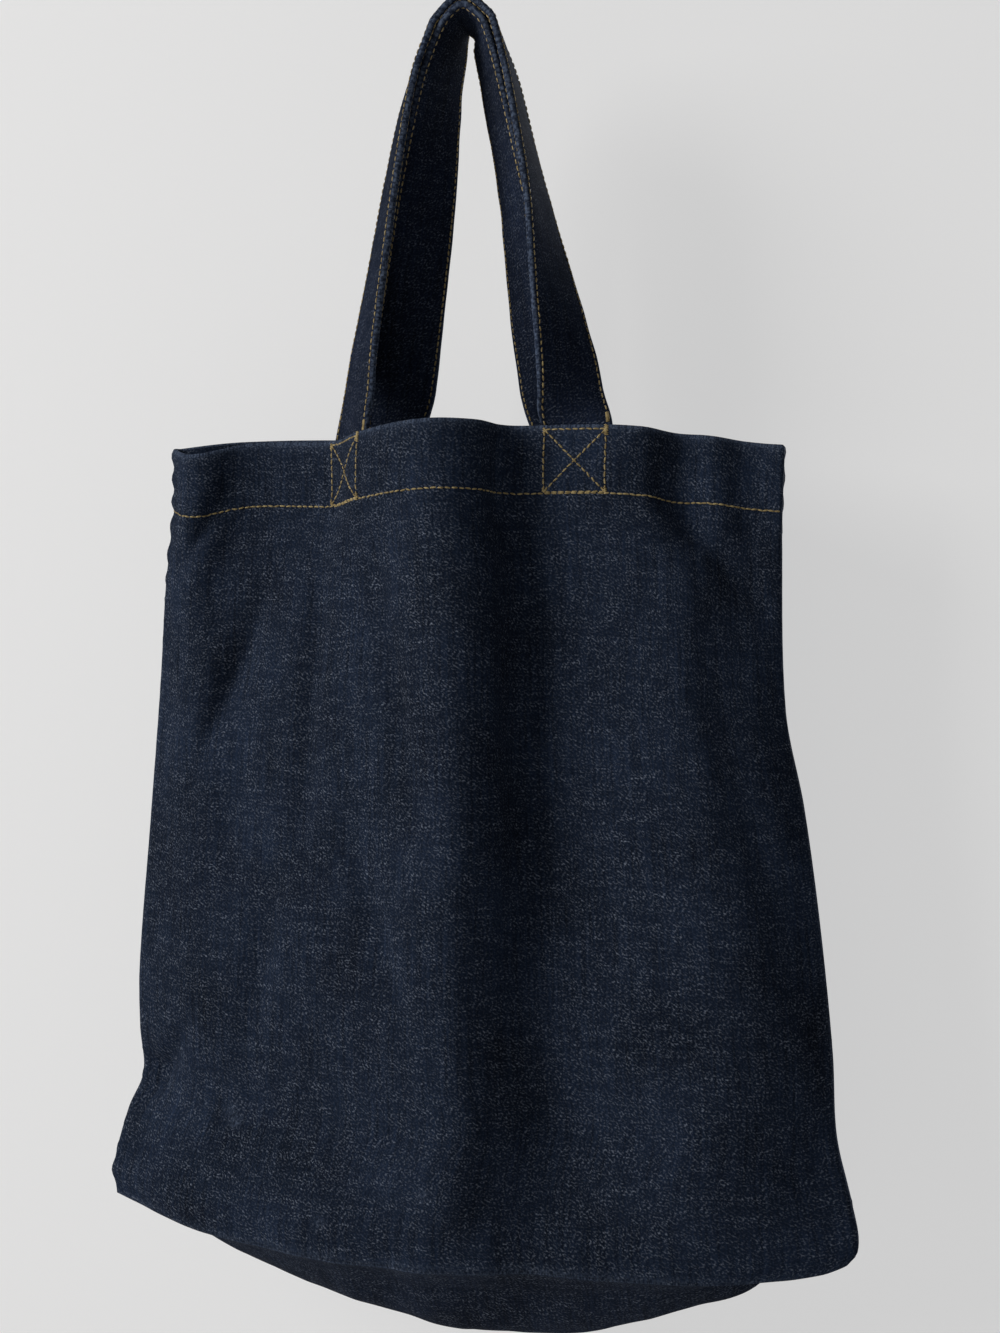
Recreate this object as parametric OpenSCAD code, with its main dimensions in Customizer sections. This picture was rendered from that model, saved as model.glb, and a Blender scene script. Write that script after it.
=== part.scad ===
// Denim tote bag hung by both handles: two panels, a folded bottom gusset, two flat handles and their stitching.
// Origin: underside of the handles where they lie on a hook. +X to the right, -Y to the front, +Z up. Millimetres.

/* [Cloth body] */
// Width of a panel laid flat, seam to seam
panel_w = 380; // [340:5:420]
// Height of a panel laid flat, top edge to bottom crease
panel_h = 392; // [340:2:440]
// Depth of the bottom gusset laid flat, crease to crease
gusset_d = 124; // [90:2:150]
// Thickness of one layer of denim
cloth_t = 1; // [0.7:0.1:1.4]
// Depth of the turned hem at the mouth
hem_d = 34; // [24:1:44]
// Thickness of the hem, which is three layers pressed together
hem_t = 2.6; // [2:0.1:3.6]
// Width of the overlocked allowance inside each side seam
allowance_w = 9; // [6:0.5:14]

/* [Handles] */
// Width of a handle strap
strap_w = 35; // [25:1:45]
// Thickness of a handle strap, which is four layers
strap_t = 3.4; // [2.4:0.1:4.4]
// Distance between the middles of the two ends of one handle, laid flat
strap_spacing = 140; // [120:2:170]
// Height of the handles, from the mouth to the hook
handle_drop = 200; // [170:5:260]
// Height above the mouth at which a handle starts to swing
hinge_rise = 9; // [6:0.5:16]
// Free gap between the straps where one lies on the other, and at their hinges
strap_gap = 0.5; // [0.4:0.1:1]

/* [Stitching] */
// Width of a sewn line of topstitching thread
thread_w = 0.9; // [0.5:0.1:1.4]
// Height of a sewn line of topstitching thread
thread_t = 0.6; // [0.4:0.1:1]
// Distance of the handle's stitching from the strap's edges
edge_inset = 2.2; // [1.5:0.1:5]
// Height of the boxed cross that holds each handle end
box_h = 30; // [20:1:32]

/* [Hanging folds] */
// How far the main fold of the front stands forward
fold_depth = 40; // [25:1:50]
// Depth of the belly that the empty bottom makes below its creases, as a share of the gusset's depth
belly_share = 0.35; // [0.15:0.01:0.4]
// How far the front edge of the mouth dips beside the left seam
mouth_dip = 12; // [0:1:16]
// How far the middle of the bottom creases sags below a level line
crease_sag = 8; // [0:1:12]
// Angle by which the mouth hangs out of level
mouth_tilt = 1.3; // [-3:0.1:3]
// Angle by which the hook turns the top of the handles
hook_turn = 9; // [0:1:15]

/* [Hidden] */

indigo = "#20283a";
indigo_light = "#2c3548";
mustard = "#b0904c";

front = -1;
back = 1;
half_w = panel_w / 2;
lift = 0.35;                  // clearance between two layers that lie on each other
stitch_lift = 0.5;            // clearance under a sewn line, so that it clears the flat facets of curved cloth

// ---- Curves ----------------------------------------------------------------------------------------------

// Value at t of a smooth curve through [t, value] points, level past its ends.
function curve(p, t, i = 0) =
    t <= p[0][0] ? p[0][1] :
    t >= p[len(p) - 1][0] ? p[len(p) - 1][1] :
    t > p[i + 1][0] ? curve(p, t, i + 1) :
    let (h = p[i + 1][0] - p[i][0], s = (t - p[i][0]) / h, m0 = slope(p, i) * h, m1 = slope(p, i + 1) * h)
    (2 * s ^ 3 - 3 * s ^ 2 + 1) * p[i][1] + (s ^ 3 - 2 * s ^ 2 + s) * m0
    + (3 * s ^ 2 - 2 * s ^ 3) * p[i + 1][1] + (s ^ 3 - s ^ 2) * m1;
function slope(p, i) =
    let (a = max(i - 1, 0), b = min(i + 1, len(p) - 1)) (p[b][1] - p[a][1]) / (p[b][0] - p[a][0]);
function running_sum(v) = [for (i = 0, s = 0; i <= len(v); s = s + (i < len(v) ? v[i] : 0), i = i + 1) s];
function lerp(a, b, t) = a + (b - a) * t;
function unit(v) = v / norm(v);

// ---- The hanging shape of a panel ------------------------------------------------------------------------
// across runs -1 to 1 from the left seam to the right one, down runs 0 to 1 from the mouth to the crease.

// How far the cloth stands out, as a share of fold_depth: one fold line for each height.
front_folds = [
    [0, [[-1, -0.2], [-0.87, 0.22], [-0.73, -0.05], [-0.57, -0.12], [-0.45, 0.02], [-0.28, 0.6], [-0.06, 1.02],
         [0.07, 0.82], [0.22, 0.28], [0.3, 0.22], [0.45, 0.22], [0.58, -0.08], [0.7, -0.02], [0.84, -0.2],
         [1, -0.2]]],
    [0.085, [[-1, -0.2], [-0.87, 0.22], [-0.73, -0.03], [-0.57, -0.1], [-0.45, 0.02], [-0.28, 0.6], [-0.06, 1.03],
             [0.07, 0.84], [0.22, 0.3], [0.3, 0.23], [0.46, 0.24], [0.6, -0.04], [0.72, 0], [0.86, -0.18],
             [1, -0.2]]],
    [0.18, [[-1, -0.2], [-0.87, 0.12], [-0.74, 0.02], [-0.5, 0.12], [-0.28, 0.54], [-0.05, 1.05], [0.08, 0.88],
            [0.24, 0.3], [0.32, 0.26], [0.5, 0.34], [0.66, 0.3], [0.8, -0.02], [1, -0.2]]],
    [0.38, [[-1, -0.2], [-0.82, 0.2], [-0.68, 0.2], [-0.3, 0.65], [-0.03, 1.08], [0.09, 0.88], [0.24, 0.32],
            [0.34, 0.3], [0.5, 0.44], [0.7, 0.42], [0.87, 0.08], [1, -0.2]]],
    [0.72, [[-1, -0.1], [-0.8, 0.28], [-0.58, 0.48], [-0.3, 0.72], [0, 1.05], [0.26, 0.42], [0.5, 0.58],
            [0.7, 0.6], [0.88, 0.3], [1, -0.1]]],
    [0.9, [[-1, -0.02], [-0.8, 0.34], [-0.5, 0.62], [-0.2, 0.95], [0, 1.08], [0.24, 0.75], [0.58, 0.75],
           [0.8, 0.5], [1, -0.02]]],
    [1, [[-1, 0.02], [-0.8, 0.35], [-0.5, 0.66], [0, 1.05], [0.3, 0.95], [0.63, 0.65], [1, 0.02]]]
];
back_folds = [
    [0, [[-1, 0.2], [-0.74, 0.6], [-0.46, 0.85], [-0.27, 0.52], [0, -0.5], [0.27, 0.55], [0.46, 0.7],
         [0.63, 1], [0.79, 0.75], [1, 0.2]]],
    [0.38, [[-1, 0.2], [-0.74, 0.85], [-0.42, 1.1], [-0.24, 0.9], [0, 0], [0.25, 0.85], [0.47, 1.1],
            [0.74, 0.9], [1, 0.2]]],
    [0.72, [[-1, 0.1], [-0.74, 0.75], [-0.42, 1.1], [-0.2, 1.05], [0, 0.7], [0.2, 1.05], [0.47, 1.15],
            [0.74, 0.8], [1, 0.1]]],
    [1, [[-1, 0.02], [-0.63, 0.65], [-0.3, 1.1], [0, 1.25], [0.3, 1.1], [0.63, 0.65], [1, 0.02]]]
];
// Where the side seams hang, as a share of half the flat width, at each height down the panel.
left_seam = [[0, 0.828], [0.085, 0.829], [0.17, 0.855], [0.3, 0.872], [0.5, 0.9], [0.7, 0.926], [0.78, 0.921],
             [0.84, 0.908], [0.89, 0.95], [0.97, 0.99], [1, 0.975]];
right_seam = [[0, 0.81], [0.12, 0.803], [0.33, 0.812], [0.45, 0.857], [0.6, 0.897], [0.75, 0.926], [0.85, 0.936],
              [0.93, 0.972], [0.98, 0.988], [1, 0.965]];
// How far each seam edge stands from the seam, to leave room for the layers between the panels there.
seam_room = [[0, hem_t + lift], [hem_d / panel_h, hem_t + lift], [0.14, cloth_t + lift], [0.8, cloth_t + lift],
             [0.88, 2 * (cloth_t + lift)], [1, 2 * (cloth_t + lift) + lift]];
// Height of the mouth's edge above its middle, across the front and the back, as a share of mouth_dip.
front_mouth = [[-1, -0.58], [-0.87, -1], [-0.7, -0.42], [-0.4, -0.42], [-0.08, -0.08], [0.28, 0], [0.46, -0.04],
               [0.72, -0.33], [1, -0.75]];
back_mouth = [[-1, -0.58], [-0.8, -0.17], [-0.5, 0], [0, -0.33], [0.5, -0.08], [1, -0.75]];
// Depth of the crease below a level line through the corners of the bag, as a share of crease_sag.
crease = [[-1, -0.38], [-0.93, 0], [-0.7, 0.75], [-0.4, 1], [0, 0.75], [0.4, 0.62], [0.8, 0.44], [0.93, 0.12], [1, -0.5]];

function folds(side) = side == front ? front_folds : back_folds;
function stand_out(side, across, down) =
    side * fold_depth * curve([for (f = folds(side)) [f[0], curve(f[1], across)]], down)
    + side * curve(seam_room, down) * smooth_edge(across);
function smooth_edge(across) = max(0, 1 - (1 - abs(across)) * 6) ^ 2;
function seam_x(across, down) =
    across < 0 ? -half_w * curve(left_seam, down) : half_w * curve(right_seam, down);
function mouth_z(side, across) = mouth_dip * curve(side == front ? front_mouth : back_mouth, across);
// Where the folds alone don't draw the seams close enough, the parts beside the seams are gathered: the whole right
// part of the front, and less of its left one.
left_front_gathers = 0.35;
function gathers(side, across) =
    min(1, max(0, (abs(across) - 0.4) / 0.2)) * (side == front && across < 0 ? left_front_gathers : 1);

// One level line across a panel: the cloth doesn't stretch, so its folds draw the seams together.
function level_line(side, down, n) =
    let (step = panel_w / n,
         y = [for (i = [0:n]) stand_out(side, -1 + 2 * i / n, down)],
         dx = [for (i = [0:n - 1]) sqrt(max(step ^ 2 - (y[i + 1] - y[i]) ^ 2, (0.3 * step) ^ 2))],
         part = [for (i = [0:n - 1]) gathers(side, (2 * i + 1) / n - 1)],
         x0 = seam_x(-1, down), x1 = seam_x(1, down),
         gathered = (running_sum(dx)[n] - (x1 - x0)) / (dx * part),
         run = running_sum([for (i = [0:n - 1]) dx[i] * (1 - gathered * part[i])]))
    [for (i = [0:n])
        let (across = -1 + 2 * i / n, x = x0 + run[i],
             z0 = mouth_z(side, across), z1 = -panel_h - crease_sag * curve(crease, across))
        [x, y[i], -handle_drop + lerp(z0, z1, down) - x * tan(mouth_tilt) * (1 - down / 2)]];

// The rows of a panel: close together round the hem's end, where the thickness steps.
hem_end = hem_d / panel_h;
function rows(n) = concat([0, hem_end / 2, hem_end, hem_end * 1.03], [for (j = [1:n]) lerp(hem_end * 1.03, 1, j / n)]);
function thickness(down) = down <= hem_end * 1.001 ? hem_t : cloth_t;

front_n = 36;
back_n = 28;
front_rows = rows(22);
back_rows = rows(18);
front_grid = [for (v = front_rows) level_line(front, v, front_n)];
back_grid = [for (v = back_rows) level_line(back, v, back_n)];
function grid_of(side) = side == front ? front_grid : back_grid;
function columns(side) = side == front ? front_n : back_n;
function column_x(side, i) = -half_w + panel_w * i / columns(side);
function rows_of(side) = side == front ? front_rows : back_rows;

// ---- Cloth solids ----------------------------------------------------------------------------------------

// Unit normal of a grid of points at row j, column i. On a panel it points to the back.
function grid_normal(g, j, i) =
    let (nj = len(g) - 1, ni = len(g[0]) - 1)
    unit(cross(g[j][min(i + 1, ni)] - g[j][max(i - 1, 0)], g[min(j + 1, nj)][i] - g[max(j - 1, 0)][i]));
function shifted(g, t) =
    [for (j = [0:len(g) - 1]) [for (i = [0:len(g[0]) - 1])
        g[j][i] + grid_normal(g, j, i) * (is_list(t) ? t[j] : t)]];

// The closed solid between two grids of the same size.
module between(near, far) {
    nj = len(near);
    ni = len(near[0]);
    n = nj * ni;
    points = concat([for (row = near) each row], [for (row = far) each row]);
    near_faces = [for (j = [0:nj - 2], i = [0:ni - 2])
        let (k = j * ni + i) each [[k, k + 1, k + ni + 1], [k, k + ni + 1, k + ni]]];
    far_faces = [for (f = near_faces) [f[2] + n, f[1] + n, f[0] + n]];
    rim = concat([for (i = [0:ni - 1]) i], [for (j = [1:nj - 1]) j * ni + ni - 1],
                 [for (i = [ni - 2:-1:0]) (nj - 1) * ni + i], [for (j = [nj - 2:-1:1]) j * ni]);
    rim_faces = [for (k = [0:len(rim) - 1])
        let (a = rim[k], b = rim[(k + 1) % len(rim)]) each [[b, a, a + n], [b, a + n, b + n]]];
    polyhedron(points, concat(near_faces, far_faces, rim_faces), convexity = 8);
}

// A cloth whose outer face is the grid, from depth t0 to depth t1 below it. Depths grow to the inside,
// which lies along the grid's normals if inside is 1 and against them if it is -1.
module cloth(g, inside, t0, t1) {
    a = shifted(g, inside * t0);
    b = shifted(g, inside * t1);
    if (inside > 0) between(a, b); else between(b, a);
}

// Place of any point of a panel's outer face, on the same flat facets as its grid.
function row_at(v, list, j = 0) = j >= len(list) - 2 || v <= list[j + 1] ? j : row_at(v, list, j + 1);
function on_grid(g, list, across, down) =
    let (n = len(g[0]) - 1, fi = (across + 1) / 2 * n, i = min(floor(fi), n - 1), s = fi - i,
         j = row_at(down, list), t = (down - list[j]) / (list[j + 1] - list[j]))
    lerp(lerp(g[j][i], g[j][i + 1], s), lerp(g[j + 1][i], g[j + 1][i + 1], s), t);
function on_panel(side, flat_x, flat_down) =
    on_grid(grid_of(side), rows_of(side), flat_x / half_w, flat_down / panel_h);

// ---- Panels ----------------------------------------------------------------------------------------------

module panel(side) {
    cloth(grid_of(side), -side, 0, [for (v = rows_of(side)) thickness(v)]);
}
module front_panel() color(indigo) panel(front);
module back_panel() color(indigo) panel(back);

// ---- Bottom gusset ---------------------------------------------------------------------------------------
// Folded up between the panels at both side seams, and popped down to a belly in the middle.

belly_d = belly_share * gusset_d;
pleat_h = gusset_d / 2;       // at a side seam the gusset is folded flat, so its middle comes up by half its depth
gusset_reach = 0.975;         // its ends stop this share of the half width from the middle
gusset_inset = 1.6 * cloth_t + lift;
// Height of the gusset's middle and of its two inner folds, and the place of those folds across its depth.
gusset_middle = [[-1, pleat_h], [-0.93, pleat_h * 0.5], [-0.86, 0], [-0.72, -belly_d * 0.22], [-0.4, -belly_d * 0.64],
                 [0, -belly_d], [0.3, -belly_d * 0.86], [0.62, -belly_d * 0.4], [0.8, -belly_d * 0.1],
                 [0.9, pleat_h * 0.5], [1, pleat_h]];
gusset_fold_h = [[0, -belly_d * 0.3], [0.4, -belly_d * 0.25], [0.65, -belly_d * 0.1], [0.8, pleat_h * 0.2],
                 [0.9, pleat_h * 0.6], [1, pleat_h * 0.9]];
gusset_fold_at = [[0, 0.16], [0.6, 0.16], [0.8, 0.26], [1, 0.45]];
gusset_nu = 30;
gusset_nt = 10;

function gusset_rise(a, t) =
    let (at = curve(gusset_fold_at, abs(a)), m = curve(gusset_middle, a), r = curve(gusset_fold_h, abs(a)),
         s = min(t, 1 - t))
    s < at ? r * s / at : lerp(r, m, sin(90 * (s - at) / (0.5 - at)));
gusset_grid = [for (j = [0:gusset_nt]) [for (i = [0:gusset_nu])
    let (across = gusset_reach * (-1 + 2 * i / gusset_nu), t = j / gusset_nt,
         rise = gusset_rise(across / gusset_reach, t), down = 1 - max(0, rise) / panel_h,
         p = on_grid(front_grid, front_rows, across, down) + [0, gusset_inset, 0],
         q = on_grid(back_grid, back_rows, across, down) - [0, gusset_inset, 0])
    lerp(p, q, t) + [0, 0, min(0, rise)]]];

module bottom_gusset() color(indigo)
    between(gusset_grid, [for (row = gusset_grid) [for (p = row) p + [0, 0, cloth_t]]]);

// ---- Side seams ------------------------------------------------------------------------------------------
// The two raw edges, overlocked together and pressed against the back panel.

seam_top = hem_end * 1.2;
seam_bottom = 0.8;
seam_rows = 16;
module side_seam(sx) {
    g = [for (j = [0:seam_rows]) [for (k = [0:2])
        on_grid(back_grid, back_rows, sx * (1 - (1.5 * cloth_t + allowance_w * (sx < 0 ? k : 2 - k) / 2) / half_w),
                lerp(seam_top, seam_bottom, j / seam_rows))]];
    cloth(g, -back, cloth_t + lift, 2.6 * cloth_t + lift);
}
module left_side_seam() color(indigo_light) side_seam(-1);
module right_side_seam() color(indigo_light) side_seam(1);

// ---- Handles ---------------------------------------------------------------------------------------------
// The legs of a handle are rows of level sections: height, distance from the middle and depth, as shares of the drop,
// then the turns of the left and of the right leg. At turn 0 the strap's width runs from front to back, and a
// positive turn swings its back edge outwards.

front_legs = [[-0.015, 0.045, 0, 1, -2.5], [-0.05, 0.066, 0, 6, -2], [-0.125, 0.1, -0.002, 11, -2.5],
              [-0.225, 0.13, -0.008, 14, -2], [-0.46, 0.173, -0.02, 20, 4], [-0.7, 0.212, -0.032, 27, 23],
              [-0.85, 0.233, -0.04, 31, 42]];
back_legs = [[-0.05, 0.038, 0, -12, -12], [-0.125, 0.059, 0.006, -15, -19], [-0.225, 0.076, 0.015, -22, -25],
             [-0.46, 0.109, 0.04, -38, -28], [-0.7, 0.144, 0.0725, -52, -30], [-0.85, 0.172, 0.098, -76, -40]];
strap_cols = 4;
rings = 3;                    // rows of points between two sections of a handle
turning_rings = 7;            // the same where a leg turns, just above each hinge

function legs_of(side) = side == front ? front_legs : back_legs;
// The straps lie on the inner face of the hem.
front_inside = shifted(front_grid, [for (v = front_rows) thickness(v)]);
back_inside = shifted(back_grid, [for (v = back_rows) -thickness(v)]);
function behind_hem(side, sx, share, flat_down) =
    on_grid(side == front ? front_inside : back_inside, rows_of(side),
            (sx * strap_spacing / 2 + strap_w * share) / half_w, flat_down / panel_h);
// Places across a sewn end, as shares of its width: its two edges, and each bend of the panel's facets between.
function end_shares(side, sx) =
    concat([-0.5],
           [for (i = [1:columns(side) - 1]) let (s = (column_x(side, i) - sx * strap_spacing / 2) / strap_w)
               if (abs(s) < 0.49) s],
           [0.5]);
// Direction along the mouth across a sewn end, level and from left to right.
function end_across(side, sx) =
    let (d = behind_hem(side, sx, 0.5, 0) - behind_hem(side, sx, -0.5, 0)) unit([d.x, d.y, 0]);

// Where a strap leaves the mouth, at the middle of its thickness: height, x, y and turn.
function mouth_section(side, sx) =
    let (d = end_across(side, sx),
         m = behind_hem(side, sx, 0, 0) + side * [d.y, -d.x, 0] * (lift + strap_t / 2),
         w = -side * sx * d)
    [m.z, m.x, m.y, atan2(w.x, w.y)];
// All level sections of a handle, from the left end over the hook to the right one: [z, x, y, turn].
// The front handle lies on the back one, so it runs further out by a strap and its stitching.
function sections(side) =
    let (legs = handle_drop * legs_of(side), n = len(legs), left = mouth_section(side, -1), right = mouth_section(side, 1),
         out = side == front ? strap_t + thread_t + 2 * stitch_lift : 0,
         rise = [hinge_rise, 0, 0, 0])
    concat([left + rise / 2, left + rise],
           [for (i = [n - 1:-1:0]) let (s = legs[i]) [s[0], -s[1] - out, s[2], -legs_of(side)[i][3]]],
           [[strap_t / 2 + out, 0, 0, 0]],
           [for (i = [0:n - 1]) let (s = legs[i]) [s[0], s[1] + out, s[2], legs_of(side)[i][4]]],
           [right + rise, right + rise / 2]);
front_sections = sections(front);
back_sections = sections(back);

// One row of points across a handle at place t, counted in sections, from the front edge to the back one.
function strap_row(list, t) =
    let (v = [for (c = [0:3]) curve([for (i = [0:len(list) - 1]) [i, list[i][c]]], t)],
         top = (len(list) - 1) / 2,
         a = v[3] - hook_turn * max(0, 1 - abs(t - top) / (top - 2)),
         w = strap_w * [sin(a), cos(a), 0])
    [for (k = [0:strap_cols]) [v[1], v[2], v[0]] + w * (k / strap_cols - 0.5)];
// The moving loop runs from one hinge to the other and starts upright there.
upright = 1.5;
function loop_rows(list) =
    let (last = len(list) - 2, up = [0, 0, upright], ends = [strap_row(list, 1), strap_row(list, last)])
    concat([ends[0], [for (p = ends[0]) p + up]],
           [for (i = [1:last - 1]) let (n = i == 1 || i == last - 1 ? turning_rings : rings)
               each [for (j = [0:n - 1]) if (i > 1 || j > 0) strap_row(list, i + j / n)]],
           [[for (p = ends[1]) p + up], ends[1]]);

module handle(list) cloth(loop_rows(list), 1, -strap_t / 2, strap_t / 2);
module front_handle() color(indigo_light) handle(front_sections);
module back_handle() color(indigo_light) handle(back_sections);

// The sewn end of one leg: the straight part above the mouth and the part behind the hem.
module handle_end(side, sx) {
    shares = end_shares(side, sx);
    top = hinge_rise - strap_gap;
    m = behind_hem(side, sx, 0, 0);
    d = end_across(side, sx) * strap_w;
    level = [for (s = shares) m + d * s + [0, 0, top]];
    sewn = [for (down = [0, hem_d / 2, hem_d - lift]) [for (s = shares) behind_hem(side, sx, s, down)]];
    bend = [for (k = [0:len(shares) - 1]) lerp(level[k], sewn[0][k], 0.7)];
    cloth(concat([level, [for (p = level) p - [0, 0, upright]], bend], sewn), -side, lift, lift + strap_t);
}
module front_handle_ends() color(indigo_light) for (sx = [-1, 1]) handle_end(front, sx);
module back_handle_ends() color(indigo_light) for (sx = [-1, 1]) handle_end(back, sx);

// ---- Topstitching ----------------------------------------------------------------------------------------
// A sewn line is a thin flat band that lies just off the cloth.

stitch_row = hem_d - 2;       // the line that holds the hem
seam_margin = 3;              // its ends stop this far from the side seams

// A sewn line on a panel between two flat places [across, down], the left one first. It bends where the
// panel's own facets do, and halfway if it runs straight down.
function sewn_places(side, from, to) =
    let (w = to.x - from.x)
    w < 1 ? [from, lerp(from, to, 0.5), to] :
    concat([from],
           [for (i = [1:columns(side) - 1]) let (t = (column_x(side, i) - from.x) / w)
               if (t > 0.02 && t < 0.98) lerp(from, to, t)],
           [to]);
module sewn_line(side, from, to) {
    d = unit(to - from) * thread_w / 2;
    g = [for (p = sewn_places(side, from, to)) [for (s = [-1, 1]) on_panel(side, p.x + s * d.y, p.y - s * d.x)]];
    cloth(g, -side, -stitch_lift - thread_t, -stitch_lift);
}
module hem_stitching(side) {
    ends = half_w - seam_margin;
    sewn_line(side, [-ends, stitch_row], [ends, stitch_row]);
}
module front_hem_stitching() color(mustard) hem_stitching(front);
module back_hem_stitching() color(mustard) hem_stitching(back);

// The box and its cross, in lines that stop just short of each other.
module box_stitching(side, sx) {
    gap = thread_w;
    x0 = sx * strap_spacing / 2 - strap_w / 2 + edge_inset;
    x1 = x0 + strap_w - 2 * edge_inset;
    y1 = stitch_row - 2 * thread_w;
    y0 = stitch_row - box_h;
    m = [(x0 + x1) / 2, (y0 + y1) / 2];
    r = [m.x - x0, m.y - y0] - [2, 2] * gap;
    sewn_line(side, [x0 + gap, y0], [x1 - gap, y0]);
    sewn_line(side, [x0 + gap, y1], [x1 - gap, y1]);
    sewn_line(side, [x0, y0 - gap / 2], [x0, y1 + gap / 2]);
    sewn_line(side, [x1, y0 - gap / 2], [x1, y1 + gap / 2]);
    sewn_line(side, m - r, m + r);
    sewn_line(side, m + [-r.x, r.y], m + [-1.5, 1.5] * gap);
    sewn_line(side, m + [1.5, -1.5] * gap, m + [r.x, -r.y]);
}
module front_box_stitching() color(mustard) for (sx = [-1, 1]) box_stitching(front, sx);
module back_box_stitching() color(mustard) for (sx = [-1, 1]) box_stitching(back, sx);

// One line along each edge of a handle, on its outer face and on the same facets.
module handle_stitching(list) {
    loop = loop_rows(list);
    near = shifted(loop, -strap_t / 2 - stitch_lift - thread_t);
    far = shifted(loop, -strap_t / 2 - stitch_lift);
    for (at = [edge_inset, strap_w - edge_inset])
        between(lengthwise(near, at), lengthwise(far, at));
}
function lengthwise(g, at) = [for (row = g) [for (s = [-0.5, 0.5]) place_in(row, (at + s * thread_w) / strap_w)]];
function place_in(row, share) =
    let (f = share * strap_cols, i = min(floor(f), strap_cols - 1)) lerp(row[i], row[i + 1], f - i);
module front_handle_stitching() color(mustard) handle_stitching(front_sections);
module back_handle_stitching() color(mustard) handle_stitching(back_sections);

front_panel();
back_panel();
bottom_gusset();
left_side_seam();
right_side_seam();
front_handle();
back_handle();
front_handle_ends();
back_handle_ends();
front_hem_stitching();
back_hem_stitching();
front_box_stitching();
back_box_stitching();
front_handle_stitching();
back_handle_stitching();
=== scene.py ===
"""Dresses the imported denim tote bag: cloth panels, a bottom gusset, straps, hems and topstitching.

Lengths inside the classes are millimetres; a mesh is written in metres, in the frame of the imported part.
"""

from __future__ import annotations

import logging
import math
from dataclasses import dataclass, field
from enum import Enum
from typing import Sequence

import bpy
import numpy as np
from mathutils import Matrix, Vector

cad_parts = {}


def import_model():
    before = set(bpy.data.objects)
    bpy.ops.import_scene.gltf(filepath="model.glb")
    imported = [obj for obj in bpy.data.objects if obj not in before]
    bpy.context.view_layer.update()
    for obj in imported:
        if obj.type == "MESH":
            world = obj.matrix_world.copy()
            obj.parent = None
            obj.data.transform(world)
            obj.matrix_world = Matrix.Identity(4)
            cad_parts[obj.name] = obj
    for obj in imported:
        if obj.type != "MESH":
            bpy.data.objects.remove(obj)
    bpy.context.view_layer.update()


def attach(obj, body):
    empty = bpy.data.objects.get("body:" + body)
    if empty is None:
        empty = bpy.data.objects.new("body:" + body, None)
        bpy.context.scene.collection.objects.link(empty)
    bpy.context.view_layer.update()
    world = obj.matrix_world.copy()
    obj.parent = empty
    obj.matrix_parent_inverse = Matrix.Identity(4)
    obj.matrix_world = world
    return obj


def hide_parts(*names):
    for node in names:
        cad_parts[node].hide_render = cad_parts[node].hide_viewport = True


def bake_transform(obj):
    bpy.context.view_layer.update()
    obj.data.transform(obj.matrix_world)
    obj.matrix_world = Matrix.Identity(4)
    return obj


LOG = logging.getLogger("tote")
MM = 0.001
# Points as near as this, in metres, become one.
WELD = 1e-6

Values = np.ndarray | float
# A curve is its places and values. Quads are a strap's sections, as share of the drop, x, y and turn, or
# sizes of wrinkle, as height, lean, width and length.
Pair = tuple[float, float]
Curve = Sequence[Pair]
Quads = Sequence[tuple[float, float, float, float]]
Triple = tuple[float, float, float]
Inputs = dict[str | int, object]
# Rows of stitches: their middles, outward directions, directions along and lengths.
Stitches = tuple[np.ndarray, np.ndarray, np.ndarray, np.ndarray]


class Named(Enum):
    """A choice whose name is part of its pieces' names."""

    @property
    def word(self) -> str:
        """The choice's name in small letters."""
        return self.name.lower()


class Side(Named):
    """Which panel or strap a piece belongs to; the value is the direction of its outer face along Y."""

    FRONT = -1
    BACK = 1


class Seam(Named):
    """The two side seams, by their direction along X."""

    LEFT = -1
    RIGHT = 1


# ---- Numbers in smooth order -------------------------------------------------------------------------------


def curve(points: Sequence[tuple[float, Values]], t: Values) -> np.ndarray:
    """Value at t of a smooth curve through points, level past its ends.

    Args:
        points: Pairs of place and value; a value may be an array.
        t: The places to read.

    Returns:
        One value, or one row of values, for each place.
    """
    at = np.array([p[0] for p in points], float)
    value = np.array([p[1] for p in points], float)
    last = len(at) - 1
    low, high = np.maximum(np.arange(last + 1) - 1, 0), np.minimum(np.arange(last + 1) + 1, last)
    tail = (1,) * (value.ndim - 1)
    slope = (value[high] - value[low]) / (at[high] - at[low]).reshape(-1, *tail)
    t = np.clip(np.asarray(t, float), at[0], at[-1])
    i = np.clip(np.searchsorted(at, t, side="right") - 1, 0, last - 1)
    step = (at[i + 1] - at[i]).reshape(t.shape + tail)
    s = (t.reshape(t.shape + tail) - at[i].reshape(t.shape + tail)) / step
    return (
        (2 * s**3 - 3 * s**2 + 1) * value[i]
        + (s**3 - 2 * s**2 + s) * slope[i] * step
        + (3 * s**2 - 2 * s**3) * value[i + 1]
        + (s**3 - s**2) * slope[i + 1] * step
    )


def lerp(a: np.ndarray, b: np.ndarray, t: np.ndarray) -> np.ndarray:
    """The value at share t of the way from a to b."""
    return a * (1 - t) + b * t


def smooth(t: np.ndarray) -> np.ndarray:
    """A share from 0 to 1, made to start and stop softly."""
    return t * t * (3 - 2 * t)


def ramp(x: Values) -> np.ndarray:
    """x, held between 0 and 1."""
    return np.clip(x, 0, 1)


def bell(x: Values) -> np.ndarray:
    """A bell curve: 1 at 0 and next to nothing past 2."""
    return np.exp(-(x**2))


def unit(v: np.ndarray) -> np.ndarray:
    """The vectors of v at length 1."""
    return v / np.maximum(np.linalg.norm(v, axis=-1, keepdims=True), 1e-9)


def grid_normals(grid: np.ndarray) -> np.ndarray:
    """Unit normals of a grid of points, along the cross product of its row and column directions."""
    return unit(np.cross(np.gradient(grid, axis=1), np.gradient(grid, axis=0)))


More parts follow.
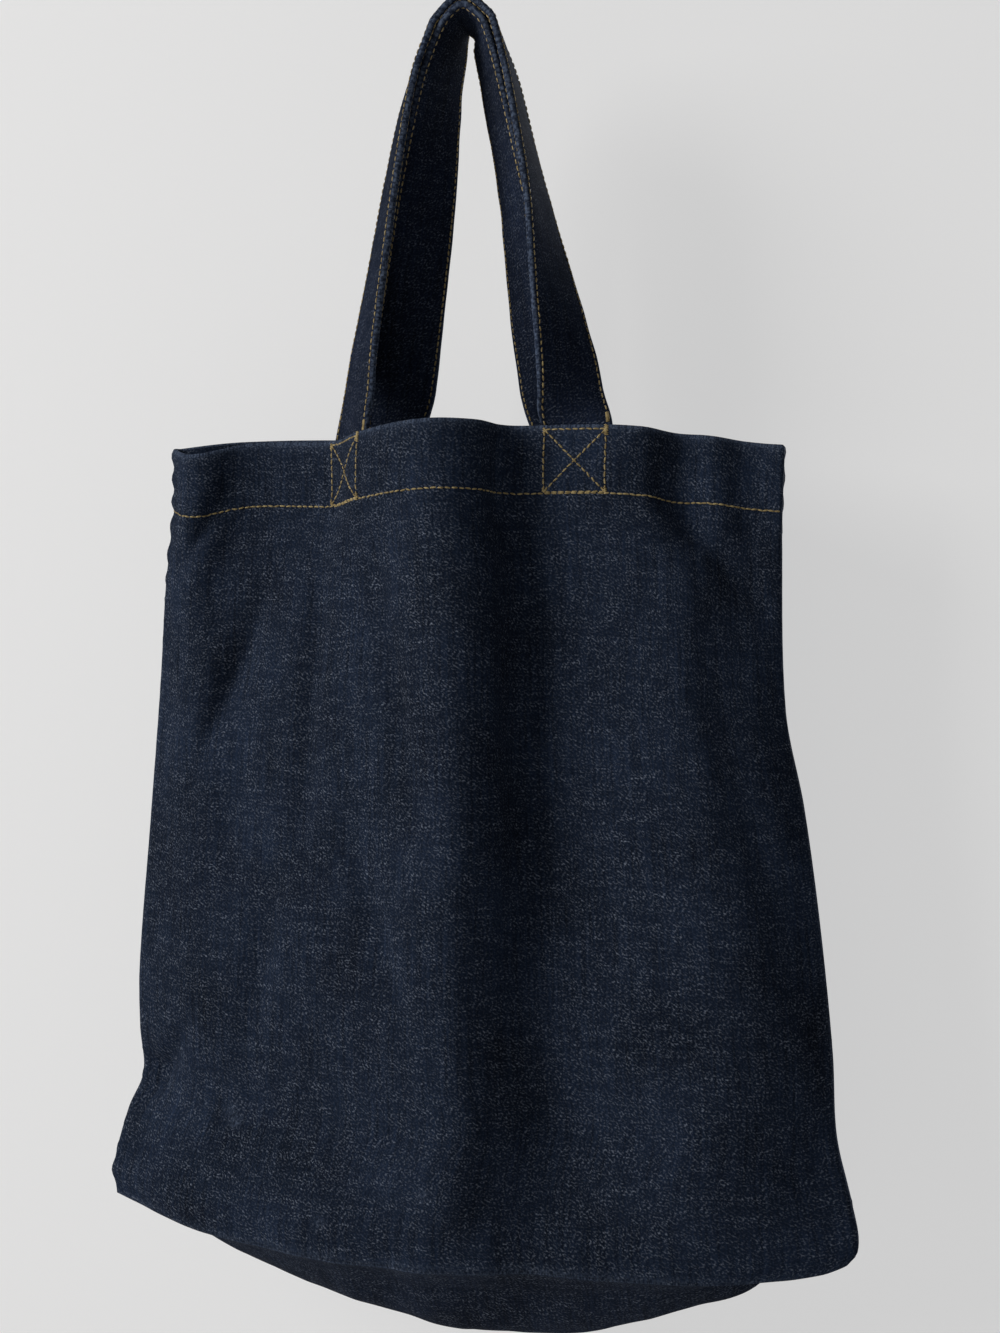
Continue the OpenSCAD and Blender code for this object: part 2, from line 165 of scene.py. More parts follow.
def read_grid(grid: np.ndarray, row: np.ndarray, column: np.ndarray) -> np.ndarray:
    """Points of a grid at fractional rows and columns.

    Args:
        grid: Array of rows by columns by 3.
        row: Row places.
        column: Column places, of the same shape.

    Returns:
        One point for each place.
    """
    rows, columns = grid.shape[:2]
    j = np.clip(np.floor(row).astype(int), 0, rows - 2)
    i = np.clip(np.floor(column).astype(int), 0, columns - 2)
    t, s = (row - j)[..., None], (column - i)[..., None]
    return lerp(lerp(grid[j, i], grid[j + 1, i], t), lerp(grid[j, i + 1], grid[j + 1, i + 1], t), s)


def soft_noise(u: np.ndarray, v: np.ndarray, size_u: float, size_v: float, seed: int) -> np.ndarray:
    """Smooth noise of about -1 to 1 whose lumps are size_u by size_v.

    Args:
        u: Places across, in millimetres.
        v: Places along, of the same shape.
        size_u: Width of a lump.
        size_v: Height of a lump.
        seed: Which noise.

    Returns:
        The noise at each place.
    """
    count, offset = 64, 1000.0
    table = np.random.default_rng(seed).uniform(-1, 1, (count, count))
    a, b = u / size_u + offset, v / size_v + offset
    i, j = np.floor(a).astype(int), np.floor(b).astype(int)
    s, t = smooth(a - i), smooth(b - j)
    i0, i1, j0, j1 = i % count, (i + 1) % count, j % count, (j + 1) % count
    return lerp(lerp(table[i0, j0], table[i1, j0], s), lerp(table[i0, j1], table[i1, j1], s), t)


# ---- Mesh work ---------------------------------------------------------------------------------------------


class Bench:
    """The few modelling steps that every piece is made with."""

    @staticmethod
    def clear() -> None:
        """Deselects everything."""
        bpy.ops.object.select_all(action="DESELECT")

    @staticmethod
    def take(piece: bpy.types.Object) -> None:
        """Selects one piece alone and makes it active.

        Args:
            piece: The piece to work on.
        """
        Bench.clear()
        piece.select_set(True)
        bpy.context.view_layer.objects.active = piece

    @staticmethod
    def face_out() -> None:
        """Turns every face of the piece in edit mode outwards and leaves edit mode."""
        bpy.ops.mesh.select_all(action="SELECT")
        bpy.ops.mesh.normals_make_consistent(inside=False)
        bpy.ops.object.mode_set(mode="OBJECT")

    @staticmethod
    def sheet(name: str, points: np.ndarray, flat: np.ndarray, wear: np.ndarray) -> bpy.types.Object:
        """A sheet of cloth: a flat grid, moved point by point to where it hangs.

        Args:
            name: The piece's name.
            points: Rows by columns by 3, in millimetres.
            flat: Rows by columns by 2, each point's place on the flat cloth, in millimetres.
            wear: Rows by columns, how worn each point is, from 0 to 1.

        Returns:
            The new piece, with its flat places as a UV map in metres.
        """
        rows, columns = points.shape[:2]
        Bench.clear()
        bpy.ops.mesh.primitive_grid_add(x_subdivisions=columns - 1, y_subdivisions=rows - 1, size=1,
                                        calc_uvs=True)
        piece = bpy.context.active_object
        piece.name = name
        mesh = piece.data
        mesh.name = name
        start = np.zeros(len(mesh.vertices) * 3, np.float32)
        mesh.vertices.foreach_get("co", start)
        start = start.reshape(-1, 3)
        column = np.rint((start[:, 0] + 0.5) * (columns - 1)).astype(int)
        row = rows - 1 - np.rint((start[:, 1] + 0.5) * (rows - 1)).astype(int)
        mesh.vertices.foreach_set("co", (points[row, column] * MM).astype(np.float32).ravel())
        loops = np.zeros(len(mesh.loops), np.int32)
        mesh.loops.foreach_get("vertex_index", loops)
        uv = mesh.uv_layers[0]
        uv.name = "cloth"
        uv.data.foreach_set("uv", (flat[row[loops], column[loops]] * MM).astype(np.float32).ravel())
        attribute = mesh.attributes.new("wear", "FLOAT", "POINT")
        attribute.data.foreach_set("value", wear[row, column].astype(np.float32))
        mesh.shade_smooth()
        mesh.update()
        return piece

    @staticmethod
    def tube(name: str, points: np.ndarray, flat: np.ndarray, wear: np.ndarray) -> bpy.types.Object:
        """A sheet whose first and last columns meet, sewn shut along them and closed at both ends.

        Args:
            name: The piece's name.
            points: Rows by columns by 3, in millimetres, with the last column on the first.
            flat: Rows by columns by 2, each point's place on the flat cloth.
            wear: Rows by columns, how worn each point is.

        Returns:
            The closed piece.
        """
        piece = Bench.sheet(name, points, flat, wear)
        Bench.take(piece)
        bpy.ops.object.mode_set(mode="EDIT")
        bpy.ops.mesh.select_all(action="SELECT")
        bpy.ops.mesh.remove_doubles(threshold=WELD)
        bpy.ops.mesh.select_all(action="DESELECT")
        bpy.ops.mesh.select_mode(type="EDGE")
        bpy.ops.mesh.select_non_manifold(extend=False, use_wire=False, use_boundary=True,
                                         use_multi_face=False, use_non_contiguous=False, use_verts=False)
        bpy.ops.mesh.edge_face_add()
        Bench.face_out()
        piece.data.shade_smooth()
        return piece

    @staticmethod
    def on_bag(piece: bpy.types.Object, node: str | None = None) -> bpy.types.Object:
        """Fixes a piece to the bag itself.

        Args:
            piece: The piece.
            node: The part's node that it stands for, if there is one.

        Returns:
            The same piece.
        """
        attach(piece, "bag")
        if node:
            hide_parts(node)
        return piece

    @staticmethod
    def thicken(piece: bpy.types.Object, thickness: float, node: str) -> bpy.types.Object:
        """Gives a sheet its thickness on both sides of its middle and fixes it to the bag.

        Args:
            piece: The sheet.
            thickness: Its thickness, in millimetres.
            node: The part's node that it stands for.

        Returns:
            The finished sheet.
        """
        Bench.take(piece)
        modifier = piece.modifiers.new("Thickness", "SOLIDIFY")
        modifier.thickness = thickness * MM
        modifier.offset = 0.0
        bpy.ops.object.modifier_apply(modifier=modifier.name)
        piece.data.shade_smooth()
        return Bench.on_bag(piece, node)

    @staticmethod
    def dress(piece: bpy.types.Object, material: bpy.types.Material, slot: str) -> None:
        """Gives a piece its material.

        Args:
            piece: The piece.
            material: Its material.
            slot: Not used.
        """
        piece.data.materials.clear()
        piece.data.materials.append(material)


# ---- Finishes ----------------------------------------------------------------------------------------------


@dataclass(frozen=True)
class Mottle:
    """Noise on the flat cloth: lump sizes in millimetres, finer layers and, if sharpened, its limits."""

    across: float
    along: float
    detail: float = 2.0
    limits: Pair | None = None


class Nodes:
    """A short way to write down a material's nodes."""

    def __init__(self, name: str) -> None:
        """Makes an empty material with its Principled shader.

        Args:
            name: The material's name.
        """
        self.material = bpy.data.materials.new(name)
        self.material.use_nodes = True
        self.tree = self.material.node_tree
        self.shader = self.tree.nodes["Principled BSDF"]

    def add(self, kind: str, inputs: Inputs | None = None, **settings: object) -> bpy.types.Node:
        """Adds a node.

        Args:
            kind: The node's type.
            inputs: What each input socket holds: a number, a colour or another node's output.
            **settings: The node's own settings.

        Returns:
            The new node.
        """
        node = self.tree.nodes.new(kind)
        for name, value in settings.items():
            setattr(node, name, value)
        for socket, value in (inputs or {}).items():
            self.put(node.inputs[socket], value)
        return node

    def put(self, socket: bpy.types.NodeSocket, value: object) -> None:
        """Sets a socket to a value, or links it to another node's output.

        Args:
            socket: The socket to fill.
            value: A number, a colour or another node's output.
        """
        if isinstance(value, bpy.types.NodeSocket):
            self.tree.links.new(value, socket)
        else:
            socket.default_value = value

    def math(self, operation: str, *terms: object) -> bpy.types.NodeSocket:
        """The output of one sum, from its terms in order."""
        return self.add("ShaderNodeMath", dict(enumerate(terms)), operation=operation).outputs[0]

    def times(self, a: object, b: object) -> bpy.types.NodeSocket:
        """The output of a times b."""
        return self.math("MULTIPLY", a, b)

    def scaled(self, a: object, by: float, plus: object) -> bpy.types.NodeSocket:
        """The output of a times by, plus what is added."""
        return self.math("MULTIPLY_ADD", a, by, plus)

    def mix(self, share: object, a: object, b: object, blend: str = "MIX") -> bpy.types.NodeSocket:
        """The output of one mix of two colours, whose sockets are found by their places."""
        inputs = {0: share, 6: a, 7: b}
        return self.add("ShaderNodeMix", inputs, data_type="RGBA", blend_type=blend).outputs[2]

    def step(self, value: object, low: float, high: float) -> bpy.types.NodeSocket:
        """0 below low, 1 above high and smooth between."""
        inputs = {"Value": value, "From Min": low, "From Max": high}
        return self.add("ShaderNodeMapRange", inputs, interpolation_type="SMOOTHSTEP").outputs["Result"]

    def noise(self, place: object, mottle: Mottle) -> bpy.types.NodeSocket:
        """Noise on the flat cloth, of about 0 to 1.

        Args:
            place: The cloth's flat place, in millimetres.
            mottle: The noise's sizes and limits.

        Returns:
            The noise's output.
        """
        scale = (1 / mottle.across, 1 / mottle.along, 1.0)
        mapped = self.add("ShaderNodeMapping", {"Vector": place, "Scale": scale}).outputs[0]
        noise = self.add("ShaderNodeTexNoise", {"Vector": mapped, "Scale": 1.0, "Detail": mottle.detail})
        return self.step(noise.outputs["Fac"], *mottle.limits) if mottle.limits else noise.outputs["Fac"]

    def bump(self, height: object, distance: float, strength: float) -> None:
        """Ends the chain with a bump on the shader's normal."""
        node = self.add("ShaderNodeBump", {"Height": height, "Distance": distance, "Strength": strength})
        self.put(self.shader.inputs["Normal"], node.outputs[0])

    def surface(self, **sockets: object) -> None:
        """Sets the shader's own sockets, by their names with _ for a space."""
        for name, value in sockets.items():
            self.put(self.shader.inputs[name.replace("_", " ")], value)


@dataclass(frozen=True)
class Denim:
    """Raw indigo twill: dark warp, pale weft specks in slanting rows, slubs and worn edges."""

    name: str
    warp: Triple
    weft: Triple = (0.40, 0.46, 0.58)
    worn: Triple = (0.125, 0.165, 0.250)
    twill: float = 33.0
    specks: float = 1.0
    grain: Mottle = Mottle(1.25, 0.85, limits=(0.46, 0.80))
    patch: Mottle = Mottle(9.0, 5.0, 4.0, (0.32, 0.68))
    band: Mottle = Mottle(30.0, 0.9, limits=(0.25, 0.62))
    slub: Mottle = Mottle(26.0, 0.75, 1.0, (0.58, 0.80))
    streak: Mottle = Mottle(1.5, 45.0)
    cloud: Mottle = Mottle(48.0, 60.0, 3.0)
    fuzz: Mottle = Mottle(1.7, 1.3, 1.0)
    crumb: Mottle = Mottle(1.0, 1.6, 1.0, (0.40, 0.68))

    def material(self) -> bpy.types.Material:
        """Builds the material.

        Returns:
            The twill, read from the piece's cloth map.
        """
        n = Nodes(self.name)
        uv = n.add("ShaderNodeUVMap", uv_map="cloth").outputs[0]
        place = n.add("ShaderNodeMapping", {"Vector": uv, "Scale": (1 / MM,) * 3}).outputs[0]
        slub, fuzz = n.noise(place, self.slub), n.noise(place, self.fuzz)
        grain = self.twill_grain(n, place)
        patches = n.times(n.noise(place, self.patch), n.noise(place, self.band))
        tone = n.times(n.scaled(n.noise(place, self.streak), 1.6, 0.2),
                       n.scaled(n.noise(place, self.cloud), 1.8, 0.1))
        tone = n.times(n.times(tone, n.scaled(slub, 0.25, 1.0)), n.scaled(fuzz, 1.0, 0.5))
        grey = n.add("ShaderNodeCombineXYZ", {0: tone, 1: tone, 2: tone}).outputs[0]
        warp = n.mix(1.0, (*self.warp, 1.0), grey, "MULTIPLY")
        show = n.times(n.times(grain, 0.5), n.scaled(patches, 1.0, 0.2))
        show = n.times(show, n.scaled(slub, 0.5, self.specks))
        colour = n.mix(show, warp, (*self.weft, 1.0))
        rub = n.add("ShaderNodeAttribute", attribute_name="wear").outputs["Fac"]
        crumbs = n.scaled(n.noise(place, self.crumb), 0.85, 0.12)
        colour = n.mix(n.times(rub, crumbs), colour, (*self.worn, 1.0))
        n.bump(n.math("ADD", n.times(grain, 0.5), n.scaled(slub, 0.4, fuzz)), 0.00020, 0.6)
        n.surface(Base_Color=colour, Roughness=0.9, Specular_IOR_Level=0.06, Sheen_Weight=0.02,
                  Sheen_Roughness=0.5, Sheen_Tint=(0.6, 0.68, 0.95, 1.0))
        return n.material

    def twill_grain(self, n: Nodes, place: bpy.types.NodeSocket) -> bpy.types.NodeSocket:
        """The weft's slanting specks, a little shaken so that no row runs straight.

        Args:
            n: The material's nodes.
            place: The cloth's flat place, in millimetres.

        Returns:
            The specks' output.
        """
        wobble = n.add("ShaderNodeTexNoise", {"Vector": place, "Scale": 0.12, "Detail": 1.0}).outputs["Color"]
        shaken = n.add("ShaderNodeVectorMath", {0: wobble, 1: (0.9, 0.45, 0.0)}, operation="MULTIPLY")
        moved = n.add("ShaderNodeVectorMath", {0: place, 1: shaken.outputs[0]}, operation="ADD").outputs[0]
        turn = (0.0, 0.0, math.radians(self.twill))
        turned = n.add("ShaderNodeMapping", {"Vector": moved, "Rotation": turn})
        return n.noise(turned.outputs[0], self.grain)


@dataclass(frozen=True)
class Thread:
    """Twisted topstitching thread, whose tone changes from stitch to stitch."""

    name: str
    light: Triple = (0.50, 0.385, 0.175)
    dark: Triple = (0.27, 0.195, 0.075)
    tone_scale: float = 420.0
    fibre_scale: float = 4200.0

    def material(self) -> bpy.types.Material:
        """Builds the material.

        Returns:
            The thread, from noise in the piece's own frame.
        """
        n = Nodes(self.name)
        place = n.add("ShaderNodeTexCoord").outputs["Object"]
        tone, fibre = (n.add("ShaderNodeTexNoise", {"Vector": place, "Scale": scale, "Detail": 1.0})
                       for scale in (self.tone_scale, self.fibre_scale))
        n.bump(fibre.outputs["Fac"], 0.0001, 0.5)
        share = n.step(tone.outputs["Fac"], 0.35, 0.65)
        colour = n.mix(share, (*self.dark, 1.0), (*self.light, 1.0))
        n.surface(Base_Color=colour, Roughness=0.55, Specular_IOR_Level=0.35, Sheen_Weight=0.2,
                  Sheen_Roughness=0.4)
        return n.material


@dataclass(frozen=True)
class Finishes:
    """All the bag's materials."""

    panel: bpy.types.Material
    # The straps' twill is painted darker than the panels' twill, as painted shade; the seam allowances use it
    # too.
    strap: bpy.types.Material
    inside: bpy.types.Material
    thread: bpy.types.Material
    overlock: bpy.types.Material

    @classmethod
    def make(cls) -> "Finishes":
        """Builds each material once.

        Returns:
            The finishes.
        """
        return cls(
            panel=Denim("indigo_twill", (0.0100, 0.0172, 0.0350)).material(),
            # The straps' warp is a darker copy of the panels' warp: painted shade that stands in for the
            # dimmer light on the straps.
            strap=Denim("indigo_twill_strap", (0.0090, 0.0145, 0.0310), specks=0.7).material(),
            inside=Denim("indigo_twill_gusset", (0.0095, 0.0158, 0.0320)).material(),
            thread=Thread("mustard_thread").material(),
            overlock=Thread("overlock_thread", (0.16, 0.17, 0.20), (0.07, 0.08, 0.10)).material(),
        )


# ---- The hanging cloth -------------------------------------------------------------------------------------


@dataclass(frozen=True)
class Cut:
    """The bag's sizes as it is cut and sewn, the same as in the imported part."""

    panel_w: float = 380.0
    panel_h: float = 392.0
    gusset_d: float = 124.0
    cloth_t: float = 1.0
    hem_d: float = 34.0
    hem_t: float = 2.6
    turn_in: float = 10.0
    row_inset: float = 2.0
    allowance_w: float = 9.0
    strap_w: float = 35.0
    strap_t: float = 3.4
    strap_spacing: float = 140.0
    handle_drop: float = 200.0
    thread_w: float = 0.9
    thread_t: float = 0.6
    edge_inset: float = 2.2
    box_h: float = 30.0
    fold_depth: float = 40.0
    belly_share: float = 0.35
    mouth_tilt: float = 1.3
    hook_turn: float = 9.0
    lift: float = 0.35
    stitch_pitch: float = 3.3

    @property
    def half_w(self) -> float:
        """Half the flat width of a panel."""
        return self.panel_w / 2

    @property
    def stitch_row(self) -> float:
        """Distance of the hem's stitching from the mouth."""
        return self.hem_d - self.row_inset


@dataclass(frozen=True)
class Crease:
    """A crease in the cloth between two flat places."""

    start: Pair
    end: Pair
    depth: float
    width: float

    def depth_at(self, u: np.ndarray, v: np.ndarray) -> np.ndarray:
        """How far the crease pulls each place of the cloth in.

        Args:
            u: Flat places across.
            v: Flat places down from the mouth.

        Returns:
            The depth at each place, in millimetres.
        """
        a, b = np.array(self.start), np.array(self.end)
        along = b - a
        length = float(np.hypot(*along))
        t = ((u - a[0]) * along[0] + (v - a[1]) * along[1]) / length**2
        off = ((u - a[0]) * along[1] - (v - a[1]) * along[0]) / length
        taper = ramp(1 - np.abs(2 * t - 1)) ** 0.6
        return self.depth * taper * bell(off / self.width)


@dataclass
class Hang:
    """How one panel hangs: its folds, its seams and its mouth.

    Folds are shares of the fold depth at places from -1 to 1, for heights from 0 at the mouth to 1 at the
    crease. The seams are shares of the half width. A rub is a worn place: across, down and how much.
    """

    folds: list[tuple[float, Curve]]
    mouth: Curve
    creases: list[Crease] = field(default_factory=list)
    rubs: list[Triple] = field(default_factory=list)
    left_seam: Curve = ((0, 0.828), (0.085, 0.829), (0.17, 0.855), (0.3, 0.872), (0.5, 0.9), (0.7, 0.926),
                        (0.78, 0.921), (0.84, 0.908), (0.89, 0.95), (0.97, 0.99), (1, 0.975))
    right_seam: Curve = ((0, 0.81), (0.12, 0.803), (0.33, 0.812), (0.45, 0.857), (0.6, 0.897), (0.75, 0.926),
                         (0.85, 0.936), (0.93, 0.972), (0.98, 0.988), (1, 0.965))
    crease_sag: Curve = ((-1, -3), (-0.93, 0), (-0.7, 6), (-0.4, 8), (0, 6), (0.4, 5), (0.8, 3.5), (0.93, 1),
                         (1, -4))
    left_share: float = 1.0


def front_hang() -> Hang:
    """The front panel's folds: one deep fold left of its middle, with a valley beside it.

    Returns:
        How the front panel hangs.
    """
    return Hang(
        folds=[
            (0, ((-1, -0.2), (-0.87, 0.22), (-0.73, -0.05), (-0.57, -0.12), (-0.45, 0.02), (-0.28, 0.6),
                 (-0.06, 1.02), (0.06, 0.82), (0.19, 0.28), (0.26, 0.22), (0.54, 0.27), (0.67, -0.05),
                 (0.77, 0), (0.88, -0.18), (1, -0.2))),
            (0.085, ((-1, -0.2), (-0.87, 0.22), (-0.73, -0.03), (-0.57, -0.1), (-0.45, 0.02),
                     (-0.28, 0.6), (-0.06, 1.03), (0.06, 0.84), (0.19, 0.3), (0.26, 0.23), (0.55, 0.29),
                     (0.69, -0.01), (0.78, 0.02), (0.89, -0.16), (1, -0.2))),
            (0.18, ((-1, -0.2), (-0.87, 0.12), (-0.74, 0.02), (-0.5, 0.12), (-0.28, 0.54), (-0.05, 1.05),
                    (0.07, 0.88), (0.21, 0.3), (0.28, 0.25), (0.5, 0.35), (0.67, 0.33), (0.82, 0.08),
                    (1, -0.2))),
            (0.38, ((-1, -0.2), (-0.82, 0.2), (-0.68, 0.2), (-0.3, 0.65), (-0.03, 1.08), (0.08, 0.88),
                    (0.21, 0.32), (0.29, 0.28), (0.5, 0.44), (0.7, 0.44), (0.87, 0.15), (1, -0.2))),
            (0.72, ((-1, -0.1), (-0.8, 0.28), (-0.58, 0.48), (-0.3, 0.74), (-0.03, 1.06), (0.08, 0.86),
                    (0.23, 0.42), (0.31, 0.4), (0.5, 0.56), (0.7, 0.6), (0.88, 0.3), (1, -0.1))),
            (0.9, ((-1, -0.02), (-0.8, 0.34), (-0.5, 0.62), (-0.16, 0.99), (0.0, 1.08), (0.11, 0.84),
                   (0.23, 0.53), (0.32, 0.49), (0.45, 0.6), (0.6, 0.68), (0.8, 0.46), (1, -0.02))),
            (1, ((-1, 0.02), (-0.8, 0.35), (-0.5, 0.66), (-0.1, 1.02), (0.06, 0.9), (0.21, 0.69),
                 (0.34, 0.72), (0.63, 0.62), (1, 0.02))),
        ],
        left_share=0.35,
        mouth=((-1, -7), (-0.87, -12), (-0.7, -5), (-0.4, -5), (-0.08, -1), (0.28, 0), (0.46, -0.5),
               (0.72, -4), (1, -9)),
        creases=[
            Crease((-86, 30), (-88, 214), 4.2, 7.0),
            Crease((-50, 60), (-18, 196), 4.2, 7.0),
            Crease((-112, 56), (-162, 182), 4.8, 8.0),
            Crease((-64, 180), (-24, 292), 4.0, 7.5),
            Crease((-102, 190), (-118, 326), 3.8, 8.5),
            Crease((-143, 14), (-176, 66), 4.4, 6.5),
            Crease((98, 10), (182, 84), 4.2, 8.5),
            Crease((136, 74), (182, 300), 2.6, 12.0),
            Crease((-6, 380), (-52, 398), 3.6, 8.0),
            Crease((-150, 288), (-186, 345), 4.5, 6.0),
            Crease((-186, 322), (-168, 318), 2.5, 4.0),
            Crease((-60, 352), (20, 384), 2.2, 9.0),
            Crease((40, 366), (120, 376), 1.5, 8.0),
            Crease((150, 250), (186, 262), 1.6, 6.0),
            Crease((140, 330), (186, 350), 2.0, 8.0),
        ],
        rubs=[(-122, 336, 0.75), (-126, 331, 0.5), (-11, 356, 0.35), (-63, 375, 0.35), (-118, 300, 0.2)],
    )


def back_hang() -> Hang:
    """The back panel's folds: its middle follows the front's deep fold from inside.

    Returns:
        How the back panel hangs.
    """
    return Hang(
        folds=[
            (0, ((-1, 0.2), (-0.74, 0.6), (-0.46, 0.85), (-0.27, 0.52), (0, -0.5), (0.27, 0.55),
                 (0.46, 0.7), (0.63, 1), (0.79, 0.75), (1, 0.2))),
            (0.38, ((-1, 0.2), (-0.74, 0.85), (-0.42, 1.1), (-0.24, 0.9), (0, 0), (0.25, 0.85),
                    (0.47, 1.1), (0.74, 0.9), (1, 0.2))),
            (0.72, ((-1, 0.1), (-0.74, 0.75), (-0.42, 1.1), (-0.2, 1.05), (0, 0.7), (0.2, 1.05),
                    (0.47, 1.15), (0.74, 0.8), (1, 0.1))),
            (1, ((-1, 0.02), (-0.63, 0.65), (-0.3, 1.1), (0, 1.25), (0.3, 1.1), (0.63, 0.65),
                 (1, 0.02))),
        ],
        mouth=((-1, -7), (-0.8, -2), (-0.5, 0), (0, -4), (0.5, -1), (1, -9)),
        creases=[
            Crease((-150, 300), (-186, 340), 3.0, 7.0),
            Crease((150, 310), (186, 345), 3.0, 7.0),
            Crease((-50, 360), (60, 372), 2.0, 9.0),
        ],
    )


@dataclass
class Panel:
    """One panel of the bag, with its turned hem. Heights and reaches of the relief are millimetres."""

    side: Side
    cut: Cut
    hang: Hang
    seed: int
    columns: int = 170
    rows: int = 170
    hem_rows: int = 14
    roll_rows: int = 5
    seam_gap: float = 0.3
    pucker: float = 0.8
    pucker_pitch: float = 12.5
    pucker_reach: float = 9.0
    rope: float = 0.30
    rope_pitch: float = 8.5
    rope_reach: float = 6.0
    dip: float = 0.28
    dip_reach: float = 1.3
    puff: float = 0.35
    low_ripple: float = 0.5
    # Height, lean, width and length of each size of wrinkle.
    wrinkles: Quads = ((1.1, 0.0, 46, 90), (0.55, 0.5, 24, 40), (0.20, -0.3, 9, 16), (0.10, 0.0, 5, 6))
    mouth_wear: float = 0.75
    crease_wear: float = 0.4
    seam_wear: float = 0.25
    rub_spread: float = 8.0

    def __post_init__(self) -> None:
        """Works out the middle of the cloth's thickness over the whole panel, without its turned hem."""
        across = np.linspace(-1, 1, self.columns + 1)
        down = np.linspace(0, 1, self.rows + 1)
        self.flat_u, self.flat_v = np.meshgrid(across * self.cut.half_w, down * self.cut.panel_h)
        outer = self.level_lines(across, down)
        relief = self.relief(self.flat_u, self.flat_v) - self.cut.cloth_t / 2
        self.middle = outer + self.side.value * grid_normals(outer) * relief[..., None]
        self.outwards = self.side.value * grid_normals(self.middle)

    def level_lines(self, across: np.ndarray, down: np.ndarray) -> np.ndarray:
        """The outer face, one level line for each height: the folds draw the seams together.

        Args:
            across: Places from -1 at the left seam to 1 at the right one.
            down: Places from 0 at the mouth to 1 at the crease.

        Returns:
            Rows by columns by 3, in millimetres.
        """
        cut, hang = self.cut, self.hang
        y = self.depths(across, down)
        step = cut.panel_w / (len(across) - 1)
        dx = np.sqrt(np.maximum(step**2 - np.diff(y, axis=1) ** 2, (0.3 * step) ** 2))
        left = -cut.half_w * curve(hang.left_seam, down)[:, None]
        right = cut.half_w * curve(hang.right_seam, down)[:, None]
        middle = (across[1:] + across[:-1]) / 2
        outer = ramp((np.abs(middle) - 0.4) / 0.2) * np.where(middle < 0, hang.left_share, 1)
        gathered = (dx.sum(1, keepdims=True) - (right - left)) / (dx * outer).sum(1, keepdims=True)
        dx = dx * (1 - gathered * outer)
        x = left + np.concatenate([np.zeros((len(down), 1)), np.cumsum(dx, axis=1)], axis=1)
        top = curve(hang.mouth, across)[None, :]
        low = -cut.panel_h - curve(hang.crease_sag, across)[None, :]
        z = -cut.handle_drop + top + (low - top) * down[:, None]
        z = z - x * math.tan(math.radians(cut.mouth_tilt)) * (1 - down[:, None] / 2)
        return np.stack([x, y, z], axis=-1)

    def depths(self, across: np.ndarray, down: np.ndarray) -> np.ndarray:
        """How far along Y the outer face lies: its folds, and room for the seams between the panels.

        Args:
            across: Places from -1 at the left seam to 1 at the right one.
            down: Places from 0 at the mouth to 1 at the crease.

        Returns:
            Rows by columns, in millimetres.
        """
        cut = self.cut
        share = curve([(height, curve(line, across)) for height, line in self.hang.folds], down)
        hem, one = cut.hem_t + cut.lift, cut.cloth_t + cut.lift
        room = curve(((0, hem), (cut.hem_d / cut.panel_h, hem), (0.14, one), (0.8, one), (0.88, 2 * one),
                      (1, 2 * one + cut.lift)), down)[:, None]
        from_seam = 1 - np.abs(across)
        edge = np.maximum(0, 1 - from_seam * 6) ** 2
        near = np.maximum(0, 1 - from_seam * cut.half_w / 3.0) ** 2
        off = room * edge - (room - self.seam_gap) * near
        return self.side.value * (cut.fold_depth * share + off)

    def relief(self, u: np.ndarray, v: np.ndarray) -> np.ndarray:
        """Small wrinkles, puckers and creases, outwards, in millimetres.

        Args:
            u: Flat places across.
            v: Flat places down from the mouth.

        Returns:
            The height of the relief at each place.
        """
        cut, seed, side = self.cut, self.seed, np.sign(u)
        from_seam = cut.half_w - np.abs(u)
        wave = 2 * np.pi * v / self.pucker_pitch + 3.2 * soft_noise(side * 90, v, 60, 34, seed)
        strength = 0.55 + 0.6 * np.clip(soft_noise(side * 40, v, 50, 60, seed + 1), -0.6, 1)
        seam = self.pucker * strength * np.exp(-from_seam / self.pucker_reach)
        seam *= np.sin(wave + 0.10 * from_seam) * ramp(from_seam / 1.5)
        from_row = v - cut.stitch_row
        twist = 2 * np.pi * (u + 0.7 * from_row) / self.rope_pitch
        twist += 2.5 * soft_noise(u, v * 0, 22, 9, seed + 2)
        rope = self.rope * bell(from_row / self.rope_reach) * np.sin(twist)
        dip = -self.dip * bell(from_row / self.dip_reach)
        puff = self.puff * ramp(v / 3) * ramp((cut.hem_d - v) / 4)
        calm = np.clip(v / 40, 0.35, 1)
        lumps = sum(high * soft_noise(u + lean * v, v, wide, tall, seed + 3 + k)
                    for k, (high, lean, wide, tall) in enumerate(self.wrinkles))
        low = self.low_ripple * ramp((v - 300) / 90) * soft_noise(u, v, 30, 14, seed + 7)
        total = seam + rope + dip + puff + calm * lumps + low
        for crease in self.hang.creases:
            total = total - crease.depth_at(u, v)
        return total * ramp(from_seam / 1.2) ** 0.5

    def place(self, u: Values, v: Values, out: Values = 0.0) -> tuple[np.ndarray, np.ndarray]:
        """A place of the panel, and its outward direction.

        Args:
            u: Flat places across.
            v: Flat places down.
            out: Distance outwards from the outer face.

        Returns:
            The points and the unit directions.
        """
        u, v = np.broadcast_arrays(np.asarray(u, float), np.asarray(v, float))
        row = v / self.cut.panel_h * self.rows
        column = (u / self.cut.half_w + 1) / 2 * self.columns
        point = read_grid(self.middle, row, column)
        direction = unit(read_grid(self.outwards, row, column))
        return point + direction * (self.cut.cloth_t / 2 + np.asarray(out))[..., None], direction

